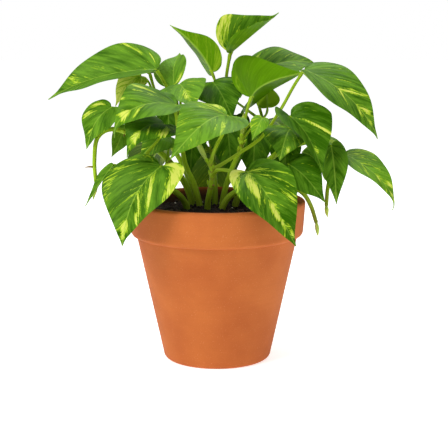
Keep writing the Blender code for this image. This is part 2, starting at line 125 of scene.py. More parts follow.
# Sides of a bud and of an air root.
BUD_SIDES = 10
# A stem's age is OLDEST_AGE_AND_SHADE up to the first height and 0 from the second; this darker colour
# near the soil is partly real aging and partly painted shade.
OLDEST_AGE_AND_SHADE = 0.85
AGE_AND_SHADE_HEIGHTS = (124, 166)
# Each stem's number times this is its place in the stem pattern.
STEM_SEED = 3.7

# Leaf stalks, with a sheath at the foot and a knee below the blade. Swellings, groove and wings
# are shares of the radius.
STALK_RADIUS = 1.35
# The radius is scaled by the least share plus the leaf's width over the growth, up to the greatest.
LEAST_STALK = 0.62
GREATEST_STALK = 1.12
STALK_GROWTH = 130.0
STALK_SIDES = 24
STALK_RINGS = 36
SHEATH_SWELLING = 0.55
SHEATH_LENGTH = 7.0
KNEE_SWELLING = 0.22
KNEE_PLACE = 6.0
KNEE_LENGTH = 3.0
STALK_GROOVE = 0.20
WING_HEIGHT = 0.42
# A stalk leaves its vine upwards, leaning towards the blade, and arrives square to the blade,
# leaning along the midrib, the more so if the blade stands up. Handles are shares of its reach.
LEAVE_LEAN = 0.4
LEAVE_HANDLE = 0.35
ARRIVE_LEAN = 0.25
STANDING_LEAN = 2.0
ARRIVE_HANDLE = 0.30
# A stalk ends this many gaps below the sheet, and goes on this far along the midrib.
STALK_GAPS = 2.6
RIB_ENTRY = 0.8
RIB_REACH = 3.0
RIB_REACH_SHARE = 0.06
# How far a rolled leaf's skin steps out where it laps, as a share of its radius.
LAP = 0.16

# Leaf blades: outline and bending, in blade lengths.
OUTLINE_WIDTH = 0.9
LOBE_SHARE = 0.36
FAN_ROWS = 0.30
FAN_LENGTH = 0.02
LOBE_DROOP = 0.4
UNTWISTED_AT = 0.4
MIDRIB_SOFTNESS = 0.02
MARGIN_CURL = 0.25
SIDE_VEIN_SLOPE = 1.2
SIDE_VEIN_BEND = 1.5
SIDE_VEIN_SPACING = 0.085
FAN_SPREAD = 0.28
# Rows and columns of a blade whose greater side is longer than the first number.
BLADE_GRIDS = ((55, (76, 40)), (30, (56, 28)), (0, (36, 18)))
# Blades wider and longer than these have the full relief and ribs.
FULL_RELIEF_WIDTH = 55.0
FULL_RIB_LENGTH = 60.0
MARGIN_WAVES = 2.6
SLOW_WAVES = 0.9
SLOW_WAVE_HEIGHT = 0.9
# The margin's thickness as a share of the blade's.
MARGIN_SHARE = 0.18
GROOVE_DEPTH = 0.35
GROOVE_WIDTH = 0.8
RIB_HEIGHT = 0.95
RIB_WIDTH = 1.0
SIDE_RIB_HEIGHT = 0.18
# As a share of the side veins' spacing.
SIDE_RIB_WIDTH = 0.12


class Leaf(NamedTuple):
    """One blade: where its base and tip are, which way it faces, how it bends, how it is marked."""
    vine: str
    node: float
    base: tuple
    tip: tuple
    face: tuple
    width: float
    fold: float = 12.0
    arch: float = 0.12
    peak: float = 0.42
    twist: float = 0.0
    sweep: float = 0.0
    lobe: float = 0.8
    slim: float = 0.0
    via: tuple = ()
    tone: float = 0.3
    cream: float = 0.0
    marks: tuple = ()


# vine: the vine that carries the leaf, and node: how far along it the stalk starts, 0 to 1.
# base, tip: ends of the midrib. face: compass bearing from +X and height of the upper side.
# width in mm; fold, twist in degrees; arch, sweep as parts of the length; lobe 0 round to 1 heart.
# via: points that the stalk passes through on its way from the vine to the blade.
# tone: 0 dark green to 1 pale green, and a low tone also darkens the underside as painted shade.
# cream: how far the whole blade is streaked, 0 little to 1 all.
# marks: cream patches as (u, v, u reach, v reach, strength), with u 0 base to 1 tip along the
# midrib, and v -1 to 1 from margin to margin.
LEAVES = {
    "upper_left": Leaf(
        "vine_left", 0.95, (-55, 35, 254), (-154, 50, 226), (-90, 60), 69, fold=26, arch=0.08,
        peak=0.5, twist=20, lobe=0.5, tone=0.45, cream=0.06,
        marks=((0.8, 0.8, 0.06, 0.3, 0.75), (0.36, 0.8, 0.025, 0.35, 0.9),
               (0.24, 0.5, 0.02, 0.2, 0.7), (0.62, 0.4, 0.03, 0.2, 0.45),
               (0.8, 0.3, 0.04, 0.3, 0.5))),
    "folded_left": Leaf(
        "vine_left", 0.9, (-39, 45, 240), (-35, 80, 267), (-125, 35), 38, fold=28, arch=0.1,
        lobe=0.5, tone=0.85, cream=0.15,
        marks=((0.12, 0.5, 0.12, 0.5, 0.8),)),
    "crown_left": Leaf(
        "vine_back_center", 0.95, (-5, 55, 251), (-43, 60, 293), (62, 22), 36, fold=38, arch=0.05,
        sweep=-0.05, lobe=0.5, slim=0.3, via=((-4, 57, 214), (-1, 56, 236)), tone=1.0, cream=0.3,
        marks=((0.1, -0.3, 0.12, 0.5, 0.8),)),
    "crown_right": Leaf(
        "vine_back_center", 0.86, (12, 58, 268), (56, 63, 304), (-134, 40), 64, fold=57, arch=0.0,
        lobe=0.5, slim=0.4, via=((4, 62, 205), (9, 62, 225), (8, 60, 243)), tone=0.45, cream=0.2,
        marks=((0.26, -0.75, 0.12, 0.4, 0.7), (0.26, 0.0, 0.1, 0.35, 0.65),
               (0.42, -0.95, 0.1, 0.15, 0.4))),
    "cupped_right": Leaf(
        "vine_right_tall", 0.9, (30, 20, 230), (78, 45, 251), (124, 10), 77, fold=48, arch=0.2,
        lobe=1.2, tone=0.35),
    "upper_right": Leaf(
        "vine_back_right", 0.95, (33, 73, 248), (96, 92, 252), (-98, 58), 54, fold=10, arch=0.16,
        peak=0.55, lobe=0.6, via=((41, 64, 210), (36, 78, 228)), tone=0.4, cream=0.22,
        marks=((0.62, -0.6, 0.1, 0.3, 0.3),)),
    "far_right_high": Leaf(
        "vine_center", 0.75, (78, 30, 254), (143, 20, 193), (-46, 34), 59, fold=14, arch=0.16,
        peak=0.52, twist=-30, sweep=0.05, lobe=0.3,
        via=((20, -5, 184), (40, 9, 197), (56, 19, 219), (68, 29, 239)), tone=0.4, cream=0.08,
        marks=((0.66, -0.7, 0.05, 0.4, 0.9), (0.8, -0.5, 0.05, 0.4, 0.9),
               (0.62, -0.25, 0.04, 0.25, 0.8), (0.26, 0.8, 0.05, 0.25, 0.8),
               (0.9, -0.05, 0.06, 0.4, 0.9), (0.5, -0.35, 0.025, 0.4, 0.7),
               (0.64, 0.35, 0.03, 0.4, 0.7), (0.78, 0.3, 0.04, 0.3, 0.8))),
    "mid_left": Leaf(
        "vine_left", 0.8, (-35, -22, 227), (-86, -42, 201), (-90, 60), 60, fold=18, arch=0.3,
        peak=0.62, twist=30, tone=0.5, cream=0.1,
        marks=((0.48, 0.8, 0.045, 0.32, 1.1), (0.7, 0.92, 0.08, 0.12, 0.7),
               (0.84, -0.1, 0.13, 0.5, 1.0), (0.72, -0.45, 0.05, 0.5, 0.8),
               (0.42, 0.3, 0.05, 0.3, 0.3))),
    "pale_left": Leaf(
        "vine_left_trailing", 0.35, (-70, 60, 246), (-94, 60, 219), (-100, 45), 28, arch=0.2,
        tone=1.0, cream=1.0),
    "outer_left": Leaf(
        "vine_left_trailing", 0.62, (-93, 10, 222), (-115, 5, 186), (-125, 42), 44, arch=0.15,
        tone=0.5, cream=0.1,
        marks=((0.52, 0.75, 0.07, 0.32, 1.1), (0.32, 0.6, 0.04, 0.25, 0.9),
               (0.78, 0.3, 0.05, 0.35, 0.8))),
    "small_left": Leaf(
        "vine_left_trailing", 0.5, (-83, 27, 204), (-95, 25, 176), (-60, 30), 19, fold=20, arch=0.1,
        via=((-74, 26, 198), (-80, 33, 203)), tone=0.8, cream=0.1),
    "dark_left": Leaf(
        "vine_front_left", 0.75, (-45, -20, 210), (-75, -50, 185), (-100, 45), 56, arch=0.32,
        peak=0.58, tone=0.12, cream=0.05,
        marks=((0.82, -0.05, 0.15, 0.6, 1.2), (0.66, -0.3, 0.05, 0.4, 1.0),
               (0.53, -0.65, 0.1, 0.32, 1.1))),
    "front_left": Leaf(
        "vine_front_left", 0.6, (-47, -45, 177), (-78, -75, 115), (-121, 28), 74, fold=18,
        arch=0.08, sweep=0.075, slim=-0.25, cream=0.15,
        marks=((0.22, -0.75, 0.16, 0.32, 1.05), (0.56, -0.5, 0.05, 0.5, 1.1),
               (0.67, -0.35, 0.04, 0.5, 1.1), (0.76, -0.7, 0.04, 0.3, 0.9),
               (0.88, 0.1, 0.12, 0.55, 1.1), (0.5, 0.85, 0.25, 0.2, 0.45))),
    "small_crown": Leaf(
        "vine_left", 0.85, (-34, 30, 241), (-18, -12, 221), (-110, 60), 45, fold=10, arch=0.1,
        tone=0.7, cream=0.25,
        marks=((0.72, 0.1, 0.14, 0.3, 0.8),)),
    "dark_center": Leaf(
        "vine_back_center", 0.8, (-4, 44, 242), (14, 14, 211), (-80, 30), 46, fold=6, arch=0.1,
        tone=0.05),
    "center": Leaf(
        "vine_center", 0.85, (9, -47, 220), (-37, -97, 190), (-70, 64), 55, fold=10, arch=0.14,
        tone=0.7, cream=0.22,
        marks=((0.25, 0.1, 0.1, 0.4, 0.5), (0.5, -0.55, 0.04, 0.4, 0.5),
               (0.28, 0.8, 0.12, 0.3, 0.5))),
    "small_right": Leaf(
        "vine_right_tall", 0.9, (46, 60, 218), (44, 66, 242), (80, 10), 25, fold=25, arch=0.1,
        lobe=0.2, tone=1.0, cream=1.2),
    "heart_right": Leaf(
        "vine_right", 0.5, (64, -2, 215), (93, -27, 163), (-50, 35), 68, fold=30, arch=0.1,
        lobe=1.3, slim=1.0, via=((68, 22, 200), (66, 12, 212)), tone=0.12,
        marks=((0.55, -0.6, 0.025, 0.55, 1.2), (0.74, -0.15, 0.09, 0.2, 1.0))),
    "inner_right": Leaf(
        "vine_right_trailing", 0.45, (64, 6, 203), (54, -22, 179), (-95, 50), 44, arch=0.15,
        tone=0.35, cream=0.2,
        marks=((0.8, -0.7, 0.12, 0.35, 1.0), (0.95, 0.0, 0.06, 0.5, 0.8))),
    "front_right": Leaf(
        "vine_center", 0.6, (26, -60, 174), (65, -88, 117), (-68, 33), 58, fold=20, arch=0.08,
        tone=0.15, cream=0.2,
        marks=((0.16, 0.75, 0.14, 0.35, 1.3), (0.42, 0.26, 0.2, 0.24, 1.2),
               (0.72, 0.16, 0.16, 0.22, 1.2), (0.62, -0.75, 0.07, 0.3, 0.8),
               (0.9, -0.5, 0.05, 0.4, 0.9), (0.2, -0.2, 0.12, 0.25, 0.6))),
    "low_right": Leaf(
        "vine_right_trailing", 0.55, (62, -15, 175), (93, -30, 144), (-75, 30), 38, tone=0.1),
    "speckled_right": Leaf(
        "vine_right", 0.62, (101, 11, 188), (105, -6, 138), (-88, 35), 26, fold=10, arch=0.1,
        tone=0.35, cream=0.16),
    "far_right_low": Leaf(
        "vine_right", 0.68, (115, 27, 179), (156, 7, 131), (-50, 38), 38, fold=16, arch=0.24,
        peak=0.62, sweep=0.08, lobe=0.3, tone=0.65, cream=0.28,
        marks=((0.78, -0.6, 0.08, 0.45, 0.7), (0.55, 0.35, 0.03, 0.45, 0.8),
               (0.7, 0.1, 0.04, 0.3, 0.8), (0.9, 0.0, 0.08, 0.5, 0.8))),
    "narrow_left": Leaf(
        "vine_front_left", 1.0, (-90, -10, 174), (-115, -15, 138), (-150, 30), 16, fold=25,
        arch=0.02, lobe=0.2, tone=0.5, cream=0.1),
    "tiny_right": Leaf(
        "vine_right", 0.55, (77, 12, 182), (88, 11, 175), (-90, 40), 12, fold=10, arch=0.1,
        tone=0.8, cream=0.1),
    "young_center": Leaf(
        "vine_right_tall", 0.8, (39, -16, 215), (30, -26, 197), (-90, 40), 16, fold=10, arch=0.1,
        tone=1.0, cream=0.45),
    "shaded_left": Leaf(
        "vine_front_left", 0.5, (-44, 12, 196), (-68, -5, 178), (-90, 45), 30, fold=10, arch=0.15,
        cream=0.2),
    "shaded_mid": Leaf(
        "vine_back_center", 0.6, (-21, 27, 199), (-24, 17, 163), (-92, 25), 26, tone=0.05),
    "shaded_center": Leaf(
        "vine_back_center", 0.72, (8, 36, 208), (14, 23, 154), (-88, 20), 36, fold=10, tone=0.1),
    "shaded_right": Leaf(
        "vine_back_right", 0.55, (34, 38, 200), (32, 28, 152), (-90, 20), 32, tone=0.15, cream=0.1),
    "shaded_high": Leaf(
        "vine_back_right", 0.75, (17, 50, 211), (21, 43, 186), (-90, 20), 24, fold=10, arch=0.1,
        tone=0.1),
    "shaded_far_left": Leaf(
        "vine_back_left", 0.75, (-44, 42, 221), (-43, 33, 190), (-95, 22), 22, fold=10, tone=0.2),
    "shaded_far_right": Leaf(
        "vine_back_right", 0.55, (60, 31, 196), (61, 22, 154), (-85, 20), 30, tone=0.15, cream=0.1),
    "back_low_left": Leaf(
        "vine_back_left", 0.7, (-46, 60, 185), (-76, 95, 128), (125, 38), 56, fold=14, tone=0.1,
        cream=0.2,
        marks=((0.55, 0.6, 0.1, 0.35, 0.9), (0.8, -0.2, 0.08, 0.4, 0.8))),
    "back_low_center": Leaf(
        "vine_back_center", 0.6, (-2, 70, 175), (-8, 98, 108), (95, 35), 50, fold=16, arch=0.08,
        tone=0.1, cream=0.15,
        marks=((0.3, -0.6, 0.16, 0.3, 1.0), (0.7, 0.3, 0.08, 0.4, 0.8))),
    "back_low_right": Leaf(
        "vine_back_right", 0.65, (48, 62, 170), (64, 96, 108), (62, 36), 56, fold=14, tone=0.15,
        cream=0.12,
        marks=((0.65, 0.1, 0.18, 0.25, 0.9), (0.4, -0.8, 0.06, 0.3, 0.8))),
    "back_side_right": Leaf(
        "vine_back_right", 0.8, (76, 42, 196), (116, 72, 150), (35, 42), 48, fold=14, arch=0.14,
        tone=0.4, cream=0.2,
        marks=((0.5, 0.7, 0.1, 0.35, 0.9),)),
    "back_high_left": Leaf(
        "vine_back_left", 0.95, (-62, 60, 250), (-110, 88, 244), (125, 72), 48, arch=0.15, tone=0.5,
        cream=0.2,
        marks=((0.6, -0.5, 0.1, 0.4, 0.9),)),
    "back_center": Leaf(
        "vine_back_center", 0.9, (-12, 62, 214), (-20, 98, 188), (98, 62), 46, arch=0.16,
        cream=0.15,
        marks=((0.3, 0.6, 0.14, 0.3, 1.1), (0.75, -0.4, 0.08, 0.3, 0.8))),
    "back_high_right": Leaf(
        "vine_back_right", 1.0, (10, 74, 229), (22, 98, 224), (60, 75), 32, arch=0.15,
        via=((32, 67, 212), (20, 75, 220)), tone=0.7, cream=0.2),
    "back_mid_right": Leaf(
        "vine_back_right", 0.9, (46, 64, 206), (72, 96, 178), (60, 55), 48, arch=0.14, tone=0.25,
        cream=0.2,
        marks=((0.7, 0.5, 0.12, 0.4, 0.9), (0.35, -0.7, 0.1, 0.3, 0.8))),
    "back_mid_left": Leaf(
        "vine_back_left", 0.85, (-56, 64, 216), (-88, 94, 186), (120, 55), 46, arch=0.14, tone=0.55,
        cream=0.25,
        marks=((0.8, 0.1, 0.15, 0.3, 1.0),)),
}

# Vines: the points that each stem passes through, from under the soil to its growing end.
VINES = {
    "vine_center": [(-9, -8, 121), (-8, -11, 140), (-5, -18, 158), (-4, -22, 171), (-9, -22, 180)],
    "vine_right_tall": [(3, 3, 121), (6, 4, 145), (13, 6, 168), (21, 8, 186), (22, 4, 199)],
    "vine_left": [(-12, 5, 121), (-19, 6, 150), (-28, 7, 172), (-31, 9, 188), (-35, 14, 206)],
    "vine_front_left": [(-24, -4, 121), (-28, -7, 140), (-38, -13, 152), (-54, -16, 163),
                        (-72, -15, 170), (-86, -11, 168)],
    "vine_left_trailing": [(-19, 13, 121), (-27, 15, 150), (-45, 18, 176), (-70, 16, 195),
                           (-92, 10, 203), (-105, 6, 196), (-108, 4, 176), (-107, 2, 158)],
    "vine_right_trailing": [(2, -9, 121), (5, -11, 137), (14, -14, 149), (35, -16, 158),
                            (58, -14, 158), (74, -11, 150), (82, -9, 138), (87, -8, 123)],
    "vine_right": [(12, 7, 121), (20, 9, 145), (38, 13, 168), (60, 18, 184), (84, 24, 190),
                   (99, 26, 181), (102, 24, 164), (99, 19, 148), (98, 17, 134)],
    "vine_back_center": [(-2, 16, 121), (-2, 20, 145), (-3, 32, 165), (-5, 46, 182), (-6, 52, 196)],
    "vine_back_left": [(-16, 23, 121), (-22, 29, 145), (-32, 40, 168), (-44, 50, 188),
                       (-52, 55, 206)],
    "vine_back_right": [(14, 20, 121), (20, 26, 145), (30, 37, 168), (40, 48, 188), (44, 54, 204)],
}

# Air roots: the vine, how far along it, the way the root points, and its length.
AIR_ROOTS = [
    ("vine_left_trailing", 0.93, (-1.0, -0.2, 0.25), 9.0),
    ("vine_left_trailing", 0.62, (-0.2, -0.6, -1.0), 4.0),
    ("vine_front_left", 0.60, (0.1, -0.4, -1.0), 4.0),
    ("vine_center", 0.62, (0.8, -0.9, 0.2), 5.0),
    ("vine_right_trailing", 0.55, (0.1, -0.5, -1.0), 4.5),
    ("vine_right", 0.78, (0.7, -0.5, -0.6), 4.0),
    ("vine_back_left", 0.70, (-0.2, 0.9, -0.8), 4.0),
    ("vine_back_right", 0.65, (0.2, 0.9, -0.8), 4.0),
]

# Rolled new leaves: the vine end each one grows from, the way it leans, its length and radius.
NEW_LEAVES = {
    "new_leaf_center": ("vine_center", (-0.50, 0.10, 1.0), 26.0, 2.2),
    "new_leaf_right_tall": ("vine_right_tall", (0.05, -0.60, 1.0), 22.0, 2.0),
    "new_leaf_left_tip": ("vine_left_trailing", (-0.15, -0.10, -1.0), 16.0, 1.8),
    "new_leaf_right_tip": ("vine_right_trailing", (0.15, 0.10, -1.0), 12.0, 1.7),
    "new_leaf_right_short": ("vine_right", (0.10, -0.10, -1.0), 10.0, 1.7),
}


def linear(code):
    """Linear RGB of an sRGB hex colour: each channel by the standard two-part sRGB curve."""
    channels = np.array([int(code[i:i + 2], 16) for i in (1, 3, 5)]) / 255
    return tuple(np.where(channels <= 0.04045, channels / 12.92, ((channels + 0.055) / 1.055) ** 2.4))


# ---------------------------------------------------------------- settings

def colour(name, code, description):
    """A colour property whose default is an sRGB hex code."""
    return FloatVectorProperty(name=name, description=description, default=linear(code),
                               subtype="COLOR", size=3, min=0, max=1)


class PotSettings(bpy.types.PropertyGroup):
    """The clay pot's colours and finish."""
    clay: colour("Clay", "#bc662a", "Fired colour of the clay")
    flame: colour("Flame", "#a95521", "Clay that fired a little darker")
    # Inner wall: wet clay near the soil, and painted shade up to the rim.
    damp_and_shade: colour("Damp, shaded clay", "#3a2113", "Inner wall, dark with water from the soil")
    turning: FloatProperty(name="Turning marks", description="Height of the marks left by turning",
                           default=0.06, min=0, max=1)


class SoilSettings(bpy.types.PropertyGroup):
    """The potting soil's colours and roughness."""
    peat: colour("Peat", "#231710", "Moist peat")
    bark: colour("Bark", "#4a2d1b", "Chips of bark")
    perlite: colour("Perlite", "#d9d3c6", "White perlite grains")
    lumps: FloatProperty(name="Lumps", description="Height of the soil's lumps in millimetres",
                         default=2.2, min=0, max=6)
    crumbs: IntProperty(name="Crumbs", description="Loose crumbs on the soil", default=700,
                        min=0, max=2000)


class StemSettings(bpy.types.PropertyGroup):
    """Colours of the vines, stalks and air roots."""
    stem: colour("Stem", "#94b81e", "Young stems and stalks")
    # Partly the aged stem's own colour, and partly painted shade near the soil.
    old_shaded_stem: colour("Old, shaded stem", "#66751c", "Stem near the soil")
    scar: colour("Scar", "#8c6a3a", "Leaf scars and air roots")


class LeafSettings(bpy.types.PropertyGroup):
    """Colours and form of the leaves."""
    dark: colour("Dark green", "#2e5a02", "Green between the markings")
    pale: colour("Pale green", "#659521", "Pale green marbling")
    lime: colour("Lime", "#9dbd26", "Yellow-green rim of the markings")
    cream: colour("Cream", "#cbd45a", "Cream markings")
    under: colour("Underside", "#5f9204", "Underside of the blade")
    rib: colour("Rib", "#8fb33c", "Midrib")
    quilting: FloatProperty(name="Quilting", description="Height of the swell between side veins, mm",
                            default=0.35, min=0, max=2)
    ripple: FloatProperty(name="Ripple", description="Height of the waves along the margin, mm",
                          default=0.9, min=0, max=4)
    thickness: FloatProperty(name="Thickness", description="Thickness of the blade, mm",
                             default=0.55, min=0.2, max=1)
    fine: BoolProperty(name="Fine grid", description="Use the full grid on every blade",
                       default=True)


class StageSettings(bpy.types.PropertyGroup):
    """Floor, backdrop and light."""
    floor: colour("Floor", "#f7f7f7", "Pale floor")
    key: FloatProperty(name="Key light", description="Power of the soft key light", default=24.0,
                       min=0, unit="POWER")
    fill: FloatProperty(name="Fill light", description="Power of the fill light", default=5.0,
                        min=0, unit="POWER")
    sky: FloatProperty(name="Sky", description="Strength of the light from above", default=0.60,
                       min=0)
    horizon: FloatProperty(name="Horizon", description="Strength of the light from all round",
                           default=0.10, min=0)
    glow: FloatProperty(name="Floor glow", description="Light that the floor gives off",
                        default=0.62, min=0)


# ---------------------------------------------------------------- materials

# Sockets of a Mix node that mixes colours: the second one's share, and the two colours.
SHARE, FIRST, SECOND = 0, 6, 7

# Tints that stand beside the colours that can be set.
PALE_GRIT = linear("#e0a070")
DARK_GRIT = linear("#8a4a26")
PALE_PEAT = linear("#4b3523")
PEAT_FIBRE = linear("#7d6347")
PERLITE_PIT = linear("#8c7f6c")
STEM_STREAK = linear("#a9c83c")
OLD_STEM_BLOTCH = linear("#6f6a26")
NEW_LEAF_GREEN = linear("#7d9c2c")
NEW_LEAF_LIME = linear("#a6bf48")
WHITE = (1.0, 1.0, 1.0)


def feed(node, inputs):
    """Set or link a node's inputs: a node given as a value feeds its first output in use."""
    for key, value in inputs.items():
        socket = node.inputs[key]
        if isinstance(value, bpy.types.Node):
            value = next(output for output in value.outputs if output.enabled)
        if isinstance(value, bpy.types.NodeSocket):
            node.id_data.links.new(value, socket)
        else:
            socket.default_value = (*value, 1) if socket.type == "RGBA" else value


def add_node(tree, kind, inputs=None, stops=(), **settings):
    """Add a shader node with its settings, and feed its inputs.

    stops are a colour ramp's (position, colour or grey level) pairs.
    """
    made = tree.nodes.new("ShaderNode" + kind)
    for key, value in settings.items():
        setattr(made, key, value)
    feed(made, inputs or {})
    for index, (position, shade) in enumerate(stops):
        ramp = made.color_ramp.elements
        stop = ramp[index] if index < 2 else ramp.new(position)
        stop.position = position
        stop.color = (*np.broadcast_to(shade, 3), 1)
    return made


def layered(add, colour, layers):
    """Lay colours over one another: each (share, colour) covers what is below by its share."""
    for share, layer in layers:
        colour = add("Mix", {SHARE: share, FIRST: colour, SECOND: layer}, data_type="RGBA")
    return colour


def new_material(name, **finish):
    """A material with one Principled shader, whose own sockets finish sets.

    Returns the material, add_node for its own tree, and the shader.
    """
    made = bpy.data.materials.new(name)
    made.use_nodes = True
    shader = made.node_tree.nodes["Principled BSDF"]
    feed(shader, {key.replace("_", " "): value for key, value in finish.items()})
    return made, partial(add_node, made.node_tree), shader


def clay_material(settings):
    """Terracotta flower pot clay, turned and fired unglazed.

    The eye sees an even orange-brown with soft clouds where it fired darker, fine pale and dark
    grit, faint level turning marks, and a matt, slightly grainy surface. Inside, the wall is
    dark: wet near the soil, and painted shade from there up to the rim.
    """
    made, add, shader = new_material("terracotta_turned_unglazed", Roughness=0.8, IOR=1.5,
                                     Specular_IOR_Level=0.3)
    place = add("TexCoord").outputs["Object"]
    # Clouds about 45 mm across, grit about 0.8 mm, turning marks about 2 mm apart.
    clouds = add("TexNoise", {"Vector": place, "Scale": 22.0, "Detail": 4.0})
    grit = add("TexNoise", {"Vector": place, "Scale": 1200.0, "Detail": 2.0})
    flat = add("Mapping", {"Vector": place, "Scale": (3.0, 3.0, 500.0)})
    marks = add("TexNoise", {"Vector": flat, "Scale": 1.0, "Detail": 3.0})
    flame = add("ValToRGB", {"Fac": clouds}, stops=((0.35, 0.0), (0.75, 1.0)))
    pale_grit = add("ValToRGB", {"Fac": grit}, stops=((0.66, 0.0), (0.72, 0.35)))
    dark_grit = add("ValToRGB", {"Fac": grit}, stops=((0.28, 0.4), (0.34, 0.0)))
    # Share of the inner wall's dark colour: wetness near the soil, and painted shade up to the rim.
    damp_and_shade = add("Attribute", attribute_name="damp_and_shade").outputs["Fac"]
    body = layered(add, settings.clay, ((flame, settings.flame), (pale_grit, PALE_GRIT),
                                        (dark_grit, DARK_GRIT), (damp_and_shade, settings.damp_and_shade)))
    bands = add("ValToRGB", {"Fac": marks}, stops=((0.3, 0.97), (0.7, 1.0)))
    banded = add("Mix", {SHARE: 1.0, FIRST: body, SECOND: bands}, data_type="RGBA",
                 blend_type="MULTIPLY")
    roughness = add("MapRange", {"Value": clouds, "To Min": 0.72, "To Max": 0.88})
    grain = add("Math", {0: grit, 1: marks}, operation="ADD")
    bump = add("Bump", {"Height": grain, "Strength": 0.25, "Distance": 0.0002})
    feed(shader, {"Base Color": banded, "Roughness": roughness, "Normal": bump})
    return made


def soil_material(settings):
    """Peat-based potting mix, moist.

    The eye sees near-black brown with paler fibres and specks, and no shine but a few moist
    glints.
    """
    made, add, shader = new_material("potting_mix_moist_peat", Roughness=0.9, IOR=1.4)
    place = add("TexCoord").outputs["Object"]
    # Crumb colour changes every 3 mm, and specks are about 1 mm.
    crumbs = add("TexNoise", {"Vector": place, "Scale": 330.0, "Detail": 4.0})
    specks = add("TexVoronoi", {"Vector": place, "Scale": 900.0}).outputs["Color"]
    body = add("ValToRGB", {"Fac": crumbs}, stops=((0.35, 0.45 * settings.peat),
                                                   (0.62, settings.peat), (0.80, PALE_PEAT)))
    speck = add("ValToRGB", {"Fac": specks}, stops=((0.90, 0.0), (0.94, 0.5)))
    bump = add("Bump", {"Height": crumbs, "Strength": 0.8, "Distance": 0.0012})
    feed(shader, {"Base Color": layered(add, body, [(speck, PEAT_FIBRE)]), "Normal": bump})
    return made


def bark_material(settings):
    """Composted pine bark, broken into chips: dark red-brown with a paler fibrous grain."""
    made, add, shader = new_material("pine_bark_chips", Roughness=0.85, IOR=1.45)
    place = add("TexCoord").outputs["Object"]
    # Fibres about 0.5 mm wide and 2.5 mm long.
    fibres = add("Mapping", {"Vector": place, "Scale": (1.0, 5.0, 1.0)})
    grain = add("TexNoise", {"Vector": fibres, "Scale": 400.0, "Detail": 3.0})
    body = add("ValToRGB", {"Fac": grain}, stops=((0.35, 0.4 * settings.bark),
                                                  (0.70, settings.bark)))
    bump = add("Bump", {"Height": grain, "Strength": 0.5, "Distance": 0.0004})
    feed(shader, {"Base Color": body, "Normal": bump})
    return made


def perlite_material(settings):
    """Perlite, volcanic glass puffed by heat: off-white, chalky and pitted, stained by the peat."""
    made, add, shader = new_material("perlite_expanded", Roughness=0.95, IOR=1.5)
    place = add("TexCoord").outputs["Object"]
    # Pits about 0.7 mm across.
    pits = add("TexNoise", {"Vector": place, "Scale": 1500.0, "Detail": 2.0})
    body = add("ValToRGB", {"Fac": pits}, stops=((0.30, PERLITE_PIT), (0.55, settings.perlite)))
    bump = add("Bump", {"Height": pits, "Strength": 0.6, "Distance": 0.0003})
    feed(shader, {"Base Color": body, "Normal": bump})
    return made


def stem_material(settings):
    """Green pothos stem, a living skin with a thin wax.

    The eye sees yellow-green with fine lengthwise streaks, olive and a little corky towards the
    soil, where painted shade darkens it too, a brown ring at each leaf scar, and a soft sheen.
    Attribute "stem" holds (millimetres along, millimetres round, stem number), "age" is 0 young
    to 1 aged, and near the soil painted shade too, and "scar" is 1 on corky tissue.
    """
    made, add, shader = new_material("pothos_stem_green_skin", Roughness=0.42, IOR=1.42,
                                     Specular_IOR_Level=0.25, Specular_Tint=(0.8, 1, 0.4))
    stem = add("Attribute", attribute_name="stem").outputs["Vector"]
    # Aged share of the skin: real aging, and near the soil painted shade too.
    age_and_shade = add("Attribute", attribute_name="age_and_shade").outputs["Fac"]
    scar = add("Attribute", attribute_name="scar").outputs["Fac"]
    # Streaks about 0.6 mm wide and 15 mm long.
    stretched = add("Mapping", {"Vector": stem, "Scale": (0.07, 1.6, 1.0)})
    streaks = add("TexNoise", {"Vector": stretched, "Scale": 1.0, "Detail": 3.0})
    blotches = add("TexNoise", {"Vector": stem, "Scale": 0.16, "Detail": 2.0})
    young = add("ValToRGB", {"Fac": streaks}, stops=((0.30, 0.62 * settings.stem),
                                                     (0.55, settings.stem), (0.78, STEM_STREAK)))
    old_and_shaded = layered(add, settings.old_shaded_stem, [(blotches, OLD_STEM_BLOTCH)])
    skin = layered(add, young, ((age_and_shade, old_and_shaded), (scar, settings.scar)))
    roughness = add("MapRange", {"Value": streaks, "To Min": 0.34, "To Max": 0.52})
    bump = add("Bump", {"Height": streaks, "Strength": 0.4, "Distance": 0.0003})
    feed(shader, {"Base Color": skin, "Roughness": roughness, "Normal": bump})
    return made


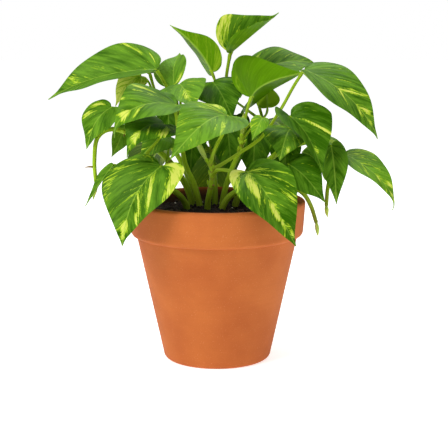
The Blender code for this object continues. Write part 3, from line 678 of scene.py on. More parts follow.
def leaf_nodes(add):
    """Nodes that both sides of a blade share: its marbling, markings and vein lines.

    Attribute "vein" holds (millimetres across the side veins, millimetres along them, leaf
    number), "blade" holds (count of side veins, v, millimetres from the midrib), and "growth"
    holds (cream, tone, 0).
    """
    vein = add("Attribute", attribute_name="vein").outputs["Vector"]
    blade = add("Attribute", attribute_name="blade").outputs["Vector"]
    growth = add("Attribute", attribute_name="growth").outputs["Vector"]
    part = add("SeparateXYZ", {0: blade})
    grown = add("SeparateXYZ", {0: growth})
    # Streaks about 2 to 5 mm wide and 30 mm long, and flecks about 1 by 3 mm, along the veins.
    long_way = add("Mapping", {"Vector": vein, "Scale": (0.21, 0.033, 7.3)})
    streaks = add("TexNoise", {"Vector": long_way, "Scale": 1.0, "Detail": 4.0, "Roughness": 0.62,
                               "Distortion": 0.9})
    short_way = add("Mapping", {"Vector": vein, "Scale": (0.9, 0.33, 3.1)})
    flecks = add("TexNoise", {"Vector": short_way, "Scale": 1.0, "Detail": 2.0})
    mottle_way = add("Mapping", {"Vector": vein, "Location": (31.0, 17.0, 5.0),
                                 "Scale": (0.12, 0.04, 4.7)})
    mottle = add("TexNoise", {"Vector": mottle_way, "Scale": 1.0, "Detail": 4.0, "Roughness": 0.65})
    streak_part = add("Math", {0: streaks, 1: 0.72}, operation="MULTIPLY")
    spread = add("Math", {0: flecks, 1: 0.28, 2: streak_part}, operation="MULTIPLY_ADD")
    level = add("Math", {0: grown.outputs[0], 1: 0.25, 2: spread}, operation="MULTIPLY_ADD")
    # How far each point is from its side vein, 0 to half the spacing.
    rows = add("Math", {0: part.outputs[0], 1: 0.5}, operation="PINGPONG")
    return {"level": level, "mottle": mottle, "flecks": flecks, "rows": rows,
            "tone": grown.outputs[1], "rib": part.outputs[2]}


def upper_leaf_material(settings):
    """Pothos leaf, upper side: a living blade under a waxy cuticle.

    The eye sees deep green marbled with paler green along the side veins, cream and lime
    markings with feathered edges, a pale midrib, hair-thin pale side veins, and a broad soft
    shine.
    """
    made, add, shader = new_material("pothos_leaf_upper_waxed", Roughness=0.34, IOR=1.42,
                                     Specular_IOR_Level=0.18, Specular_Tint=(0.7, 1, 0.3))
    leaf = leaf_nodes(add)
    marbled = add("Math", {0: leaf["mottle"], 1: 3.2, 2: leaf["tone"]}, operation="MULTIPLY_ADD")
    pale = add("MapRange", {"Value": marbled, "From Min": 1.54, "From Max": 2.60})
    lime = add("ValToRGB", {"Fac": leaf["level"]}, stops=((0.635, 0.0), (0.675, 1.0)))
    cream = add("ValToRGB", {"Fac": leaf["level"]}, stops=((0.7, 0.0), (0.755, 1.0)))
    vein = add("MapRange", {"Value": leaf["rows"], "From Max": 0.07, "To Min": 0.12, "To Max": 0.0})
    # The midrib of a dark leaf is nearly as green as its blade.
    strength = add("MapRange", {"Value": leaf["tone"], "From Max": 0.3, "To Min": 0.2,
                                "To Max": 0.6})
    rib = add("MapRange", {"Value": leaf["rib"], "From Min": 0.25, "From Max": 0.8,
                           "To Min": strength, "To Max": 0.0})
    skin = layered(add, settings.dark, ((pale, settings.pale), (lime, settings.lime),
                                        (cream, settings.cream), (vein, settings.rib),
                                        (rib, settings.rib)))
    roughness = add("MapRange", {"Value": leaf["mottle"], "To Min": 0.34, "To Max": 0.52})
    relief = add("Math", {0: leaf["flecks"], 1: 0.5, 2: leaf["rows"]}, operation="MULTIPLY_ADD")
    bump = add("Bump", {"Height": relief, "Strength": 0.25, "Distance": 0.0004})
    feed(shader, {"Base Color": skin, "Roughness": roughness, "Normal": bump})
    return made


def under_leaf_material(settings):
    """Pothos leaf, underside: no wax, so it is matt, brighter and yellower than the top.

    The eye sees one even yellow-green, where the markings show through only faintly, with pale
    raised ribs. On leaves of low tone it is darkened by painted shade.
    """
    made, add, shader = new_material("pothos_leaf_underside_matt", Roughness=0.5, IOR=1.42,
                                     Specular_IOR_Level=0.15, Specular_Tint=(0.7, 1, 0.3))
    leaf = leaf_nodes(add)
    mottled = add("MapRange", {"Value": leaf["mottle"], "From Min": 0.3, "From Max": 0.75})
    full = layered(add, 0.72 * settings.under, [(mottled, settings.under)])
    # Painted shade: a leaf of low tone is darkened underneath, to a quarter at tone 0.
    light = add("MapRange", {"Value": leaf["tone"], "From Max": 0.35, "To Min": 0.25})
    green = add("Mix", {SHARE: 1.0, FIRST: full, SECOND: light}, data_type="RGBA",
                blend_type="MULTIPLY")
    lime = add("ValToRGB", {"Fac": leaf["level"]}, stops=((0.58, 0.0), (0.74, 0.55)))
    vein = add("MapRange", {"Value": leaf["rows"], "From Max": 0.09, "To Min": 0.14, "To Max": 0.0})
    rib = add("MapRange", {"Value": leaf["rib"], "From Min": 0.6, "From Max": 1.4, "To Min": 0.9,
                           "To Max": 0.0})
    skin = layered(add, green, ((lime, settings.lime), (vein, settings.rib), (rib, settings.rib)))
    bump = add("Bump", {"Height": leaf["rows"], "Strength": 0.3, "Distance": 0.0005})
    feed(shader, {"Base Color": skin, "Normal": bump})
    return made


def young_leaf_material(settings):
    """New pothos leaf, still rolled: thin, tender skin, pale yellow-green with fine streaks."""
    made, add, shader = new_material("pothos_new_leaf_rolled", Roughness=0.4, IOR=1.42)
    along = add("Attribute", attribute_name="stem").outputs["Vector"]
    # Streaks about 0.9 mm wide and 8 mm long.
    stretched = add("Mapping", {"Vector": along, "Scale": (0.12, 1.1, 1.0)})
    streaks = add("TexNoise", {"Vector": stretched, "Scale": 1.0, "Detail": 3.0})
    body = add("ValToRGB", {"Fac": streaks}, stops=((0.30, NEW_LEAF_GREEN), (0.52, NEW_LEAF_LIME),
                                                    (0.72, settings.cream)))
    bump = add("Bump", {"Height": streaks, "Strength": 0.3, "Distance": 0.0003})
    feed(shader, {"Base Color": body, "Normal": bump})
    return made


# ---------------------------------------------------------------- shapes

def unit(vectors):
    """Scale each vector to length 1."""
    vectors = np.asarray(vectors, float)
    return vectors / np.maximum(np.linalg.norm(vectors, axis=-1, keepdims=True), 1e-12)


def bell(distance, width):
    """Bell-shaped share: 1 at distance 0, falling as e to the minus (distance / width) squared."""
    return np.exp(-(distance / width) ** 2)


def smoothstep(low, high, x):
    """0 below low, 1 above high, and 3t^2 - 2t^3 between, where t is the share of the way."""
    t = np.clip((np.asarray(x, float) - low) / (high - low), 0, 1)
    return t * t * (3 - 2 * t)


def turns(count):
    """count angles in radians, even round a full turn."""
    return np.linspace(0, TAU, count, endpoint=False)


def cubic(corners, t):
    """Points of a cubic Bezier curve: the corners weighted by the binomial terms of t."""
    a, b, c, d = (np.asarray(corner, float) for corner in corners)
    t = np.asarray(t, float)[..., None]
    return (1 - t) ** 3 * a + 3 * t * (1 - t) ** 2 * b + 3 * t * t * (1 - t) * c + t ** 3 * d


def smooth_curve(points, per_span):
    """Catmull-Rom curve through the points, with per_span steps from each to the next."""
    knots = np.asarray(points, float)
    knots = np.vstack([2 * knots[0] - knots[1], knots, 2 * knots[-1] - knots[-2]])
    t = (np.arange(per_span) / per_span)[:, None]
    spans = [0.5 * (2 * q + (r - p) * t + (2 * p - 5 * q + 4 * r - s) * t ** 2
                    + (3 * q - p - 3 * r + s) * t ** 3)
             for p, q, r, s in zip(knots, knots[1:], knots[2:], knots[3:])]
    return np.vstack(spans + [knots[-2:-1]])


def arc_lengths(path):
    """Distance of each point of a path from its start, along the path."""
    return np.concatenate([[0], np.cumsum(np.linalg.norm(np.diff(path, axis=0), axis=1))])


def even_path(path, count):
    """The same path with count points at even distances: each coordinate is interpolated."""
    run = arc_lengths(path)
    wanted = np.linspace(0, run[-1], count)
    return np.stack([np.interp(wanted, run, path[:, axis]) for axis in range(3)], 1)


def grid_faces(rows, columns, ring=False, loop=False):
    """Corner numbers of a grid's quads; ring joins its last column to its first, loop its rows."""
    index = np.arange(rows * columns).reshape(rows, columns)
    after, above = np.roll(index, -1, axis=1), np.roll(index, -1, axis=0)
    quads = np.stack([index, after, np.roll(after, -1, axis=0), above], -1)
    return quads[:rows if loop else -1, :columns if ring else -1].reshape(-1, 4)


def end_fans(rows, columns):
    """Triangles that close a ringed grid: its first row to corner rows x columns, its last to the
    corner after that."""
    index = np.arange(rows * columns).reshape(rows, columns)
    first, last = index[0], index[-1]
    return np.concatenate([np.stack([np.roll(first, -1), first, 0 * first + index.size], -1),
                           np.stack([last, np.roll(last, -1), 0 * last + index.size + 1], -1)])


def put_mesh(name, points, faces, materials, material_index=None, attributes=None, sharp=60):
    """Make a smooth-shaded piece from points in millimetres, and ride it on the plant's body.

    faces is a list of corner-number arrays, each of one corner count. attributes maps a name to
    one number or one 3-vector for each point. Edges sharper than sharp degrees stay sharp.
    """
    mesh = bpy.data.meshes.new(name)
    points = np.asarray(points, np.float32) * MM
    mesh.vertices.add(len(points))
    mesh.vertices.foreach_set("co", points.ravel())
    sizes = np.concatenate([np.full(len(group), group.shape[1], np.int32) for group in faces])
    corners = np.concatenate([group.ravel() for group in faces]).astype(np.int32)
    mesh.loops.add(len(corners))
    mesh.loops.foreach_set("vertex_index", corners)
    mesh.polygons.add(len(sizes))
    mesh.polygons.foreach_set("loop_start", np.concatenate([[0], np.cumsum(sizes)[:-1]]))
    mesh.polygons.foreach_set("loop_total", sizes)
    for made in materials:
        mesh.materials.append(made)
    if material_index is not None:
        mesh.polygons.foreach_set("material_index", np.asarray(material_index, np.int32))
    mesh.update(calc_edges=True)
    if mesh.validate():
        raise ValueError(name + " has faces that Blender had to repair")
    for key, values in (attributes or {}).items():
        values = np.asarray(values, np.float32)
        kind, field = ("FLOAT_VECTOR", "vector") if values.ndim == 2 else ("FLOAT", "value")
        mesh.attributes.new(key, kind, "POINT").data.foreach_set(field, values.ravel())
    mesh.shade_smooth()
    mesh.set_sharp_from_angle(angle=math.radians(sharp))
    piece = bpy.data.objects.new(name, mesh)
    bpy.context.scene.collection.objects.link(piece)
    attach(piece, BODY)
    return piece


# ---------------------------------------------------------------- leaf blades

def half_outline(u, lobe, slim):
    """Half of the blade's outline for u 0 to 1, as (across, along) for a leaf of length 1.

    One Bezier arc runs round the basal lobe to the widest point, and a second one runs from
    there to the drip tip. lobe deepens the heart, and slim draws the tip out.
    """
    widest = (OUTLINE_WIDTH / 2, 0.26 - 0.06 * lobe)
    round_lobe = [(0.03, -0.03 * lobe), (0.12, -0.17 * lobe), (0.36 + 0.07 * lobe, -0.15 * lobe),
                  widest]
    to_tip = [widest, (0.47 - 0.07 * slim, 0.55 - 0.03 * lobe - 0.12 * slim),
              (0.10 - 0.05 * slim, 0.74 - 0.10 * slim), (0.004, 1.0)]
    near_base = cubic(round_lobe, np.clip(u / LOBE_SHARE, 0, 1))
    near_tip = cubic(to_tip, np.clip((u - LOBE_SHARE) / (1 - LOBE_SHARE), 0, 1))
    return np.where((u < LOBE_SHARE)[..., None], near_base, near_tip)


def flat_blade(leaf, u, v):
    """The blade laid flat, in blade lengths: rows of u follow the side veins, v is -1 to 1.

    Each row is a quadratic curve that leaves the midrib, bends towards the tip as a vein does,
    and meets the outline. The rows of the lobes fan out of the base.
    """
    margin = half_outline(u, leaf.lobe, leaf.slim)
    margin_x = margin[..., 0] * (leaf.width / blade_axes(leaf)[0]) / OUTLINE_WIDTH
    margin_y = margin[..., 1]
    past_fan = np.clip((u - FAN_ROWS) / (1 - FAN_ROWS), 0, 1)
    rib_y = np.where(u < FAN_ROWS, FAN_LENGTH * u / FAN_ROWS,
                     FAN_LENGTH + (1 - FAN_LENGTH) * past_fan ** 1.1)
    a = np.abs(v)
    across = 2 * a * (1 - a) * 0.55 * margin_x + a ** 2 * margin_x
    bend = 0.7 * rib_y + 0.3 * margin_y
    along = (1 - a) ** 2 * rib_y + 2 * a * (1 - a) * bend + a ** 2 * margin_y
    return np.sign(v) * across, along


def blade_axes(leaf):
    """Length, midrib direction, upper-side normal and rightward direction of a blade."""
    base, tip = np.array(leaf.base, float), np.array(leaf.tip, float)
    length = np.linalg.norm(tip - base)
    along = (tip - base) / length
    bearing, height = np.radians(leaf.face)
    facing = np.array([math.cos(height) * math.cos(bearing), math.cos(height) * math.sin(bearing),
                       math.sin(height)])
    normal = unit(facing - (facing @ along) * along)
    return length, along, normal, np.cross(along, normal)


def blade_surface(leaf, u, v, relief):
    """Middle surface of a blade over grids u and v, relief being extra height in blade lengths.

    The flat blade is folded up along its midrib, its margins curl down with the square of the
    distance from it, the cross-section turns by twist from base to tip, and the midrib rises
    in an arch whose top is at peak.
    """
    length, along, normal, right = blade_axes(leaf)
    x, y = flat_blade(leaf, u, v)
    ahead = np.maximum(y, 0)
    power = (1 - leaf.peak) / leaf.peak
    top = leaf.peak * (1 - leaf.peak) ** power
    rise = leaf.arch / top * (ahead * np.maximum(1 - ahead, 0) ** power
                              + LOBE_DROOP * np.minimum(y, 0))
    fold = math.radians(leaf.fold)
    lift = math.tan(fold) * (np.sqrt(x ** 2 + MIDRIB_SOFTNESS ** 2) - MIDRIB_SOFTNESS)
    lift = (lift - MARGIN_CURL * x ** 2) * math.cos(fold) + relief
    x = x * math.cos(fold)
    turn = math.radians(leaf.twist) * (y - UNTWISTED_AT)
    side = x * np.cos(turn) - lift * np.sin(turn) + leaf.sweep * 4 * ahead * (1 - ahead)
    up = x * np.sin(turn) + lift * np.cos(turn) + rise
    grid = y[..., None] * along + side[..., None] * right + up[..., None] * normal
    return np.array(leaf.base) + length * grid


def vein_field(x, y):
    """Which side vein each point of the flat blade is on, and how far out along it.

    A vein leaves the midrib at height r and follows y = r + slope |x| + bend |x| squared, so r
    names the vein. Below r = 0 the veins fan out of the base instead, and the field goes on as
    minus the angle past that first vein times FAN_SPREAD. All are in blade lengths.
    """
    a = np.abs(x)
    lifted = y - SIDE_VEIN_BEND * a ** 2
    height = lifted - SIDE_VEIN_SLOPE * a
    past = np.arctan2(a, lifted) - math.atan2(1, SIDE_VEIN_SLOPE)
    out = np.where(height > 0, a * math.hypot(1, SIDE_VEIN_SLOPE), np.hypot(a, lifted))
    return np.where(height > 0, height, -FAN_SPREAD * past), out


def blade_relief(leaf, u, v, vein, number, settings):
    """Height of the blade's own relief in millimetres, over grids u and v and the vein field.

    The skin swells between side veins as the absolute sine of their spacing, fading towards the
    midrib and margin. The margin waves as a sine of u that grows with the cube of |v|, and the
    whole blade has one slow, shallow wave. number makes each leaf's waves its own.
    """
    a = np.abs(v)
    size = min(1.0, leaf.width / FULL_RELIEF_WIDTH)
    swell = np.abs(np.sin(math.pi * vein / SIDE_VEIN_SPACING)) - 0.6
    swell = settings.quilting * size * swell
    swell = swell * smoothstep(0.0, 0.2, a) * (1 - smoothstep(0.7, 1.0, a)) * (1 - u ** 4)
    phase = number * 2.4 + (v > 0) * 1.7
    waves = settings.ripple * size * a ** 3 * np.sin(TAU * MARGIN_WAVES * u + phase)
    slow = (SLOW_WAVE_HEIGHT * size * np.sin(TAU * SLOW_WAVES * u + number)
            * np.sin(math.pi * v + 0.6 * number))
    ends = smoothstep(0, 0.06, u) * (1 - smoothstep(0.90, 1.0, u))
    return (swell + waves + slow * a) * ends


def leaf_growth(leaf, vein, v):
    """How cream each point is: the leaf's own level plus a bell-shaped hump for each marking.

    A hump falls off across the side veins with the distance from the vein that its centre is
    on, and along them with v, so it is a band that runs with the veins.
    """
    cream = np.full(v.shape, leaf.cream)
    for mark_u, mark_v, reach_u, reach_v, strength in leaf.marks:
        centre, _ = vein_field(*flat_blade(leaf, np.array(mark_u), np.array(mark_v)))
        cream = cream + strength * bell(vein - centre, reach_u) * bell(v - mark_v, reach_v)
    return cream


def build_blade(name, number, settings, upper, under):
    """One leaf blade: a closed sheet, thin at the margin, with its midrib sunk above and raised below.

    The grid's rows are even in u, and its columns crowd towards the midrib and the margin as the
    mean of sin(pi s / 2) and s |s|, with s even from -1 to 1. The groove, the midrib and the
    side veins are bell-shaped across.
    """
    leaf = LEAVES[name]
    length = blade_axes(leaf)[0]
    size = max(length, leaf.width)
    rows, columns = next(grid for least, grid in BLADE_GRIDS if size > least)
    if not settings.fine:
        rows, columns = rows // 2, columns // 2
    s = np.linspace(-1, 1, columns + 1)
    spread = 0.5 * np.sin(s * math.pi / 2) + 0.5 * s * np.abs(s)
    u, v = np.meshgrid(np.linspace(0, 1, rows + 1), spread, indexing="ij")
    x, y = flat_blade(leaf, u, v)
    vein, out = vein_field(x, y)
    middle = blade_surface(leaf, u, v, blade_relief(leaf, u, v, vein, number, settings) / length)
    normals = unit(np.cross(np.gradient(middle, axis=1), np.gradient(middle, axis=0)))
    from_rib = np.abs(x) * length
    count = vein / SIDE_VEIN_SPACING
    a = np.abs(v)
    thin = settings.thickness * (MARGIN_SHARE
                                 + (1 - MARGIN_SHARE) * np.sqrt(np.maximum(1 - a ** 6, 0)))
    rib_size = min(1.0, length / FULL_RIB_LENGTH) * (1 - 0.8 * u)
    groove = GROOVE_DEPTH * rib_size * bell(from_rib, GROOVE_WIDTH)
    rib = RIB_HEIGHT * rib_size * bell(from_rib, RIB_WIDTH)
    veins = SIDE_RIB_HEIGHT * rib_size * bell(count - np.round(count), SIDE_RIB_WIDTH)
    veins = veins * smoothstep(0.02, 0.1, a) * (1 - smoothstep(0.6, 0.95, a))
    above = middle + normals * (thin / 2 - groove)[..., None]
    below = middle - normals * (thin / 2 + rib + veins)[..., None]
    quads = grid_faces(rows + 1, columns + 1)
    index = np.arange(u.size).reshape(u.shape)
    ring = np.concatenate([index[0, :-1], index[:-1, -1], index[-1, :0:-1], index[:0:-1, 0]])
    after = np.roll(ring, -1)
    rim = np.stack([after, ring, ring + u.size, after + u.size], -1)
    fields = {
        "vein": (vein * length, out * length * np.sign(v), np.full(u.shape, number)),
        "blade": (count, v, from_rib),
        "growth": (leaf_growth(leaf, vein, v), np.full(u.shape, leaf.tone), np.zeros(u.shape)),
    }
    piece = put_mesh("blade_" + name, np.concatenate([above, below]).reshape(-1, 3),
                     [quads, quads[:, ::-1] + u.size, rim], [upper, under],
                     np.repeat([0, 1, 0], [len(quads), len(quads), len(rim)]),
                     {key: np.tile(np.stack(parts, -1).reshape(-1, 3), (2, 1))
                      for key, parts in fields.items()}, sharp=50)
    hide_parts("leaf_" + name)


# ---------------------------------------------------------------- vines and stalks

def tube(path, rounds, age_and_shade, scar, number):
    """Closed tube round a path: rounds is a grid of radii (point of the path, step round it).

    A ring's point is the path's point plus its radius times cos and sin of its turn along two
    directions square to the path: the tangent crossed with the axis that it stays clearest of,
    and the tangent crossed with that. age and scar have one value for each ring. Returns the
    points, the quads of the wall, the triangles of the ends and the stem attributes.
    """
    rings, sides = rounds.shape
    tangents = unit(np.gradient(path, axis=0))
    clear = [np.abs(np.cross(tangents, axis)).sum(1).min() for axis in np.eye(3)]
    side = unit(np.cross(tangents, np.eye(3)[int(np.argmax(clear))]))
    other = np.cross(tangents, side)
    turn = turns(sides)
    points = (path[:, None] + rounds[..., None]
              * (np.cos(turn)[:, None] * side[:, None] + np.sin(turn)[:, None] * other[:, None]))
    # The way round is folded at half a turn, so that the streaks meet where the tube closes.
    around = np.abs((turn + math.pi) % TAU - math.pi) * rounds
    run = arc_lengths(path)
    own = STEM_SEED * number
    stem = np.stack([np.broadcast_to(run[:, None], rounds.shape), around,
                     np.full(rounds.shape, own)], -1).reshape(-1, 3)
    attributes = {"stem": np.vstack([stem, [(0, 0, own), (run[-1], 0, own)]]),
                  "age_and_shade": np.append(np.repeat(age_and_shade, sides), [age_and_shade[0], age_and_shade[-1]]),
                  "scar": np.append(np.repeat(scar, sides), [scar[0], scar[-1]])}
    return (np.vstack([points.reshape(-1, 3), path[0], path[-1]]),
            grid_faces(rings, sides, ring=True), end_fans(rings, sides), attributes)


def put_tubes(name, tubes, material):
    """Put several tubes into one piece."""
    points, walls, ends, attributes = zip(*tubes)
    first = np.cumsum([0] + [len(part) for part in points])
    faces = [np.vstack([part + start for part, start in zip(group, first)])
             for group in (walls, ends)]
    joined = {key: np.concatenate([part[key] for part in attributes]) for key in attributes[0]}
    return put_mesh(name, np.vstack(points), faces, [material], attributes=joined)


def bud(spot, along, radius, side, number):
    """A bud on a vine of a radius: a short tube whose radius goes as a power of a sine of its run.

    side is 1 or -1, for one side of the vine or the other.
    """
    steps = np.linspace(0, 1, BUD_RINGS)
    turned_out = unit(np.cross(along, (0.3, 0.2, 1.0))) * side
    outward = unit(along + 0.5 * turned_out)
    path = spot + turned_out * 0.6 * radius + outward * (BUD_LENGTH * steps)[:, None]
    girth = BUD_RADIUS * np.sin(math.pi * (0.22 + 0.78 * steps)) ** 0.8 + 0.05
    return tube(path, np.tile(girth[:, None], BUD_SIDES), 0 * steps, 0.5 * (1 - steps) ** 3,
                number + 0.3)


def air_root(spot, heading, length, number):
    """An air root: a tapering tube that droops with the square of the way along it."""
    steps = np.linspace(0, 1, ROOT_RINGS)
    droop = np.array([0, 0, -0.25 * length]) * (steps ** 2)[:, None]
    path = spot + unit(heading) * (length * steps)[:, None] + droop
    girth = ROOT_RADIUS * (1 - steps) ** 0.6 + 0.12
    return tube(path, np.tile(girth[:, None], BUD_SIDES), np.ones(ROOT_RINGS),
                0.9 * smoothstep(0.1, 0.5, steps), number + 0.5)


def build_vine(name, number, material):
    """One vine stem: a tapering tube with a swelling, a scar and a bud at each leaf, and air roots.

    Its radius falls in a straight line from foot to tip, rises by a bell-shaped swelling at each
    leaf's node, dips by a narrower one at the scar, and wanders by a few hundredths of a
    millimetre round and along it.
    """
    coarse = smooth_curve(VINES[name], 16)
    path = even_path(coarse, int(arc_lengths(coarse)[-1] / VINE_STEP))
    last = len(path) - 1
    end = unit(path[-1] - path[-2]) * VINE_TIP_RADIUS
    path = np.vstack([path, *(path[-1] + share * end for share in TIP_STEPS)])
    share = np.append(np.linspace(0, 1, last + 1), np.ones(len(TIP_STEPS)))
    run = arc_lengths(path)
    radii = VINE_RADIUS + (VINE_TIP_RADIUS - VINE_RADIUS) * share
    scar = np.zeros(len(path))
    nodes = [leaf.node for leaf in LEAVES.values() if leaf.vine == name]
    for node in nodes:
        away = run - node * run[last]
        radii = radii + NODE_SWELLING * bell(away, NODE_LENGTH)
        radii = radii - SCAR_DEPTH * bell(away + SCAR_BELOW, SCAR_LENGTH)
        scar = np.maximum(scar, SCAR_SHADE * bell(away + SCAR_BELOW, SCAR_SHADE_LENGTH))
    radii[last + 1:] = VINE_TIP_RADIUS * np.array(TIP_RADII)
    turn = turns(VINE_SIDES)
    rounds = radii[:, None] * (1 + 0.022 * np.sin(3 * turn + 0.11 * run[:, None])
                               + 0.012 * np.sin(5 * turn - 0.23 * run[:, None]))
    # Aged colour towards the soil: partly real aging and partly painted shade.
    age_and_shade = OLDEST_AGE_AND_SHADE * (1 - smoothstep(*AGE_AND_SHADE_HEIGHTS, path[:, 2]))
    tubes = [tube(path, rounds, age_and_shade, scar, number)]
    tangents = unit(np.gradient(path, axis=0))
    for count, at in enumerate(int(node * last) for node in nodes):
        tubes.append(bud(path[at], tangents[at], radii[at], (-1) ** count, number))
    tubes += [air_root(path[int(node * last)], heading, length, number)
              for vine, node, heading, length in AIR_ROOTS if vine == name]
    piece = put_tubes(name.replace("vine", "stem"), tubes, material)
    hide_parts(name)


def stalk_route(leaf):
    """Centre line of a leaf's stalk, from the middle of its vine to just inside the midrib.

    It leaves the vine upwards, and comes to the blade from below, or in line with the midrib
    on a blade that stands up. A stalk with via points is a smooth curve through them instead.
    """
    length, along, normal, _ = blade_axes(leaf)
    vine = smooth_curve(VINES[leaf.vine], 8)
    start = vine[int(round(leaf.node * (len(vine) - 1)))]
    arrive = unit(normal + (ARRIVE_LEAN + STANDING_LEAN * max(0.0, along[2])) * along)
    under_skin = CAD_THICKNESS / 2 * (arrive @ normal) + STALK_GAPS * GAP
    end = np.array(leaf.base) - arrive * under_skin
    reach = np.linalg.norm(end - start)
    leave = start + unit(LEAVE_LEAN * unit(end - start) + (0, 0, 1)) * LEAVE_HANDLE * reach
    if leaf.via:
        path = smooth_curve([start, *leaf.via, end], 12)
    else:
        path = cubic([start, leave, end - arrive * ARRIVE_HANDLE * reach, end],
                     np.linspace(0, 1, 40))
    under = np.array(leaf.base) - normal * CAD_THICKNESS / 2
    inside = min(RIB_REACH, RIB_REACH_SHARE * length)
    return np.vstack([path, under + along * RIB_ENTRY, under + along * inside])


def build_stalk(name, number, material):
    """A leaf's stalk: a tube with a winged sheath at its foot, a groove above, a knee at the blade.

    Its radius is STALK_RADIUS, scaled with the leaf's width, plus a bell-shaped swelling at the
    vine and a bell-shaped knee near the blade, less a narrow groove along one side, and it
    narrows in its last few millimetres. On the lower half two narrow wings, bell-shaped in the
    turn, stand up beside the groove.
    """
    leaf = LEAVES[name]
    path = even_path(stalk_route(leaf), STALK_RINGS)
    share = np.linspace(0, 1, STALK_RINGS)
    run = arc_lengths(path)
    left = run[-1] - run
    radii = STALK_RADIUS * min(GREATEST_STALK, LEAST_STALK + leaf.width / STALK_GROWTH)
    radii = radii * (1 + SHEATH_SWELLING * bell(run, SHEATH_LENGTH)
                     + KNEE_SWELLING * bell(left - KNEE_PLACE, KNEE_LENGTH))
    # A stalk of under 8 mm is too short to narrow at its end.
    radii = radii * (1 - 0.72 * smoothstep(2.5, 0.0, left)) if run[-1] > 8 else radii * 0.9
    from_top = np.abs(turns(STALK_SIDES) - math.pi / 2)
    groove = STALK_GROOVE * bell(from_top, 0.45) * smoothstep(0, 0.2, share)[:, None]
    sheath = smoothstep(0, 0.06, share) * (1 - smoothstep(0.40, 0.58, share))
    wings = WING_HEIGHT * bell(from_top - 0.79, 0.22) * sheath[:, None]
    stalk = tube(path, radii[:, None] * (1 - groove + wings), 0.25 * (1 - share),
                 0.35 * bell(run, 2.5), number)
    piece = put_tubes("stalk_" + name, [stalk], material)


def build_new_leaf(name, number, material):
    """A rolled young leaf: a spindle whose cross-section is a spiral that laps over itself once.

    The radius at turn t is the spindle's radius times 0.92 + LAP t / full turn, so that the skin
    steps down at the seam, and the seam winds half a turn from foot to tip. The spindle swells
    as the product of a power of the way from its foot and one of the way from its tip, and
    closes with the sixth power of the way along it.
    """
    vine, lean, length, radius = NEW_LEAVES[name]
    coarse = smooth_curve(VINES[vine], 16)
    heading = unit(coarse[-1] - coarse[-3])
    start = coarse[-1] + heading * GAP
    steps = np.linspace(0, 1, 40)
    path = cubic([start, start + heading * length * 0.3, start + unit(lean) * length * 0.7,
                  start + unit(lean) * (length + 1)], steps)
    girth = radius * (0.35 + 2.2 * steps ** 0.7 * (1 - steps) ** 0.9)
    girth = girth * (1 - steps ** 6) + 0.12 * steps ** 6
    wound = (turns(24) + math.pi * steps[:, None]) % TAU
    rounds = girth[:, None] * (0.92 + LAP * wound / TAU)
    piece = put_tubes(name.replace("new_leaf", "rolled_leaf"),
                      [tube(path, rounds, 0 * steps, 0 * steps, number)], material)
    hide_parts(name)


# ---------------------------------------------------------------- pot and soil

def inner_radius(height):
    """Radius of the pot's inner wall, which tapers from the mouth to the floor."""
    share = (height - FLOOR_THICKNESS) / (POT_HEIGHT - FLOOR_THICKNESS)
    return INNER_FLOOR_RADIUS + (MOUTH_RADIUS - INNER_FLOOR_RADIUS) * share


def arc(centre, radius, start, stop, steps=7):
    """Points of a circular arc in the profile plane, from start to stop degrees."""
    angle = np.radians(np.linspace(start, stop, steps))
    return np.stack([centre[0] + radius * np.cos(angle), centre[1] + radius * np.sin(angle)], 1)


def pot_profile():
    """Closed (radius, height) outline of the pot, anticlockwise, with round edges as arcs."""
    edge, lip = EDGE_ROUNDING, LIP_ROUNDING
    foot = arc((FOOT_RADIUS - edge + 0.6, edge), edge, -90, -8)
    shoulder = [(SHOULDER_RADIUS - 0.35, SHOULDER_HEIGHT - 1.6), (SHOULDER_RADIUS, SHOULDER_HEIGHT)]
    wall = np.linspace(foot[-1], shoulder[0], 40)[1:]
    rim_foot = arc((RIM_FOOT_RADIUS - edge, SHOULDER_HEIGHT + edge), edge, -90, 0, 9)
    rim = np.linspace(rim_foot[-1], (RIM_RADIUS, POT_HEIGHT - lip), 12)[1:]
    lip_out = arc((RIM_RADIUS - lip, POT_HEIGHT - lip), lip, 0, 90)[1:]
    lip_in = arc((MOUTH_RADIUS + lip - 0.4, POT_HEIGHT - lip), lip, 90, 176)
    inner_top = (inner_radius(POT_HEIGHT - 3 * lip), POT_HEIGHT - 3 * lip)
    inner = np.linspace(inner_top, (INNER_FLOOR_RADIUS + 2, FLOOR_THICKNESS + 3), 40)
    floor = [(INNER_FLOOR_RADIUS, FLOOR_THICKNESS + 0.8), (INNER_FLOOR_RADIUS - 3, FLOOR_THICKNESS)]
    hole = [(DRAIN_RADIUS + 1, FLOOR_THICKNESS), (DRAIN_RADIUS, FLOOR_THICKNESS - 1),
            (DRAIN_RADIUS, 1.0), (DRAIN_RADIUS + 1, 0.0)]
    return np.vstack([hole[-1:], foot, wall, shoulder[1:], rim_foot, rim, lip_out, lip_in, inner,
                      floor, hole[:-1]])


def rings_round_z(radius, height, turn):
    """Points at a turn round Z: each radius times its cos and sin, and each height."""
    x, y = radius * np.cos(turn), radius * np.sin(turn)
    return np.stack([x, y, np.broadcast_to(height, x.shape)], -1)


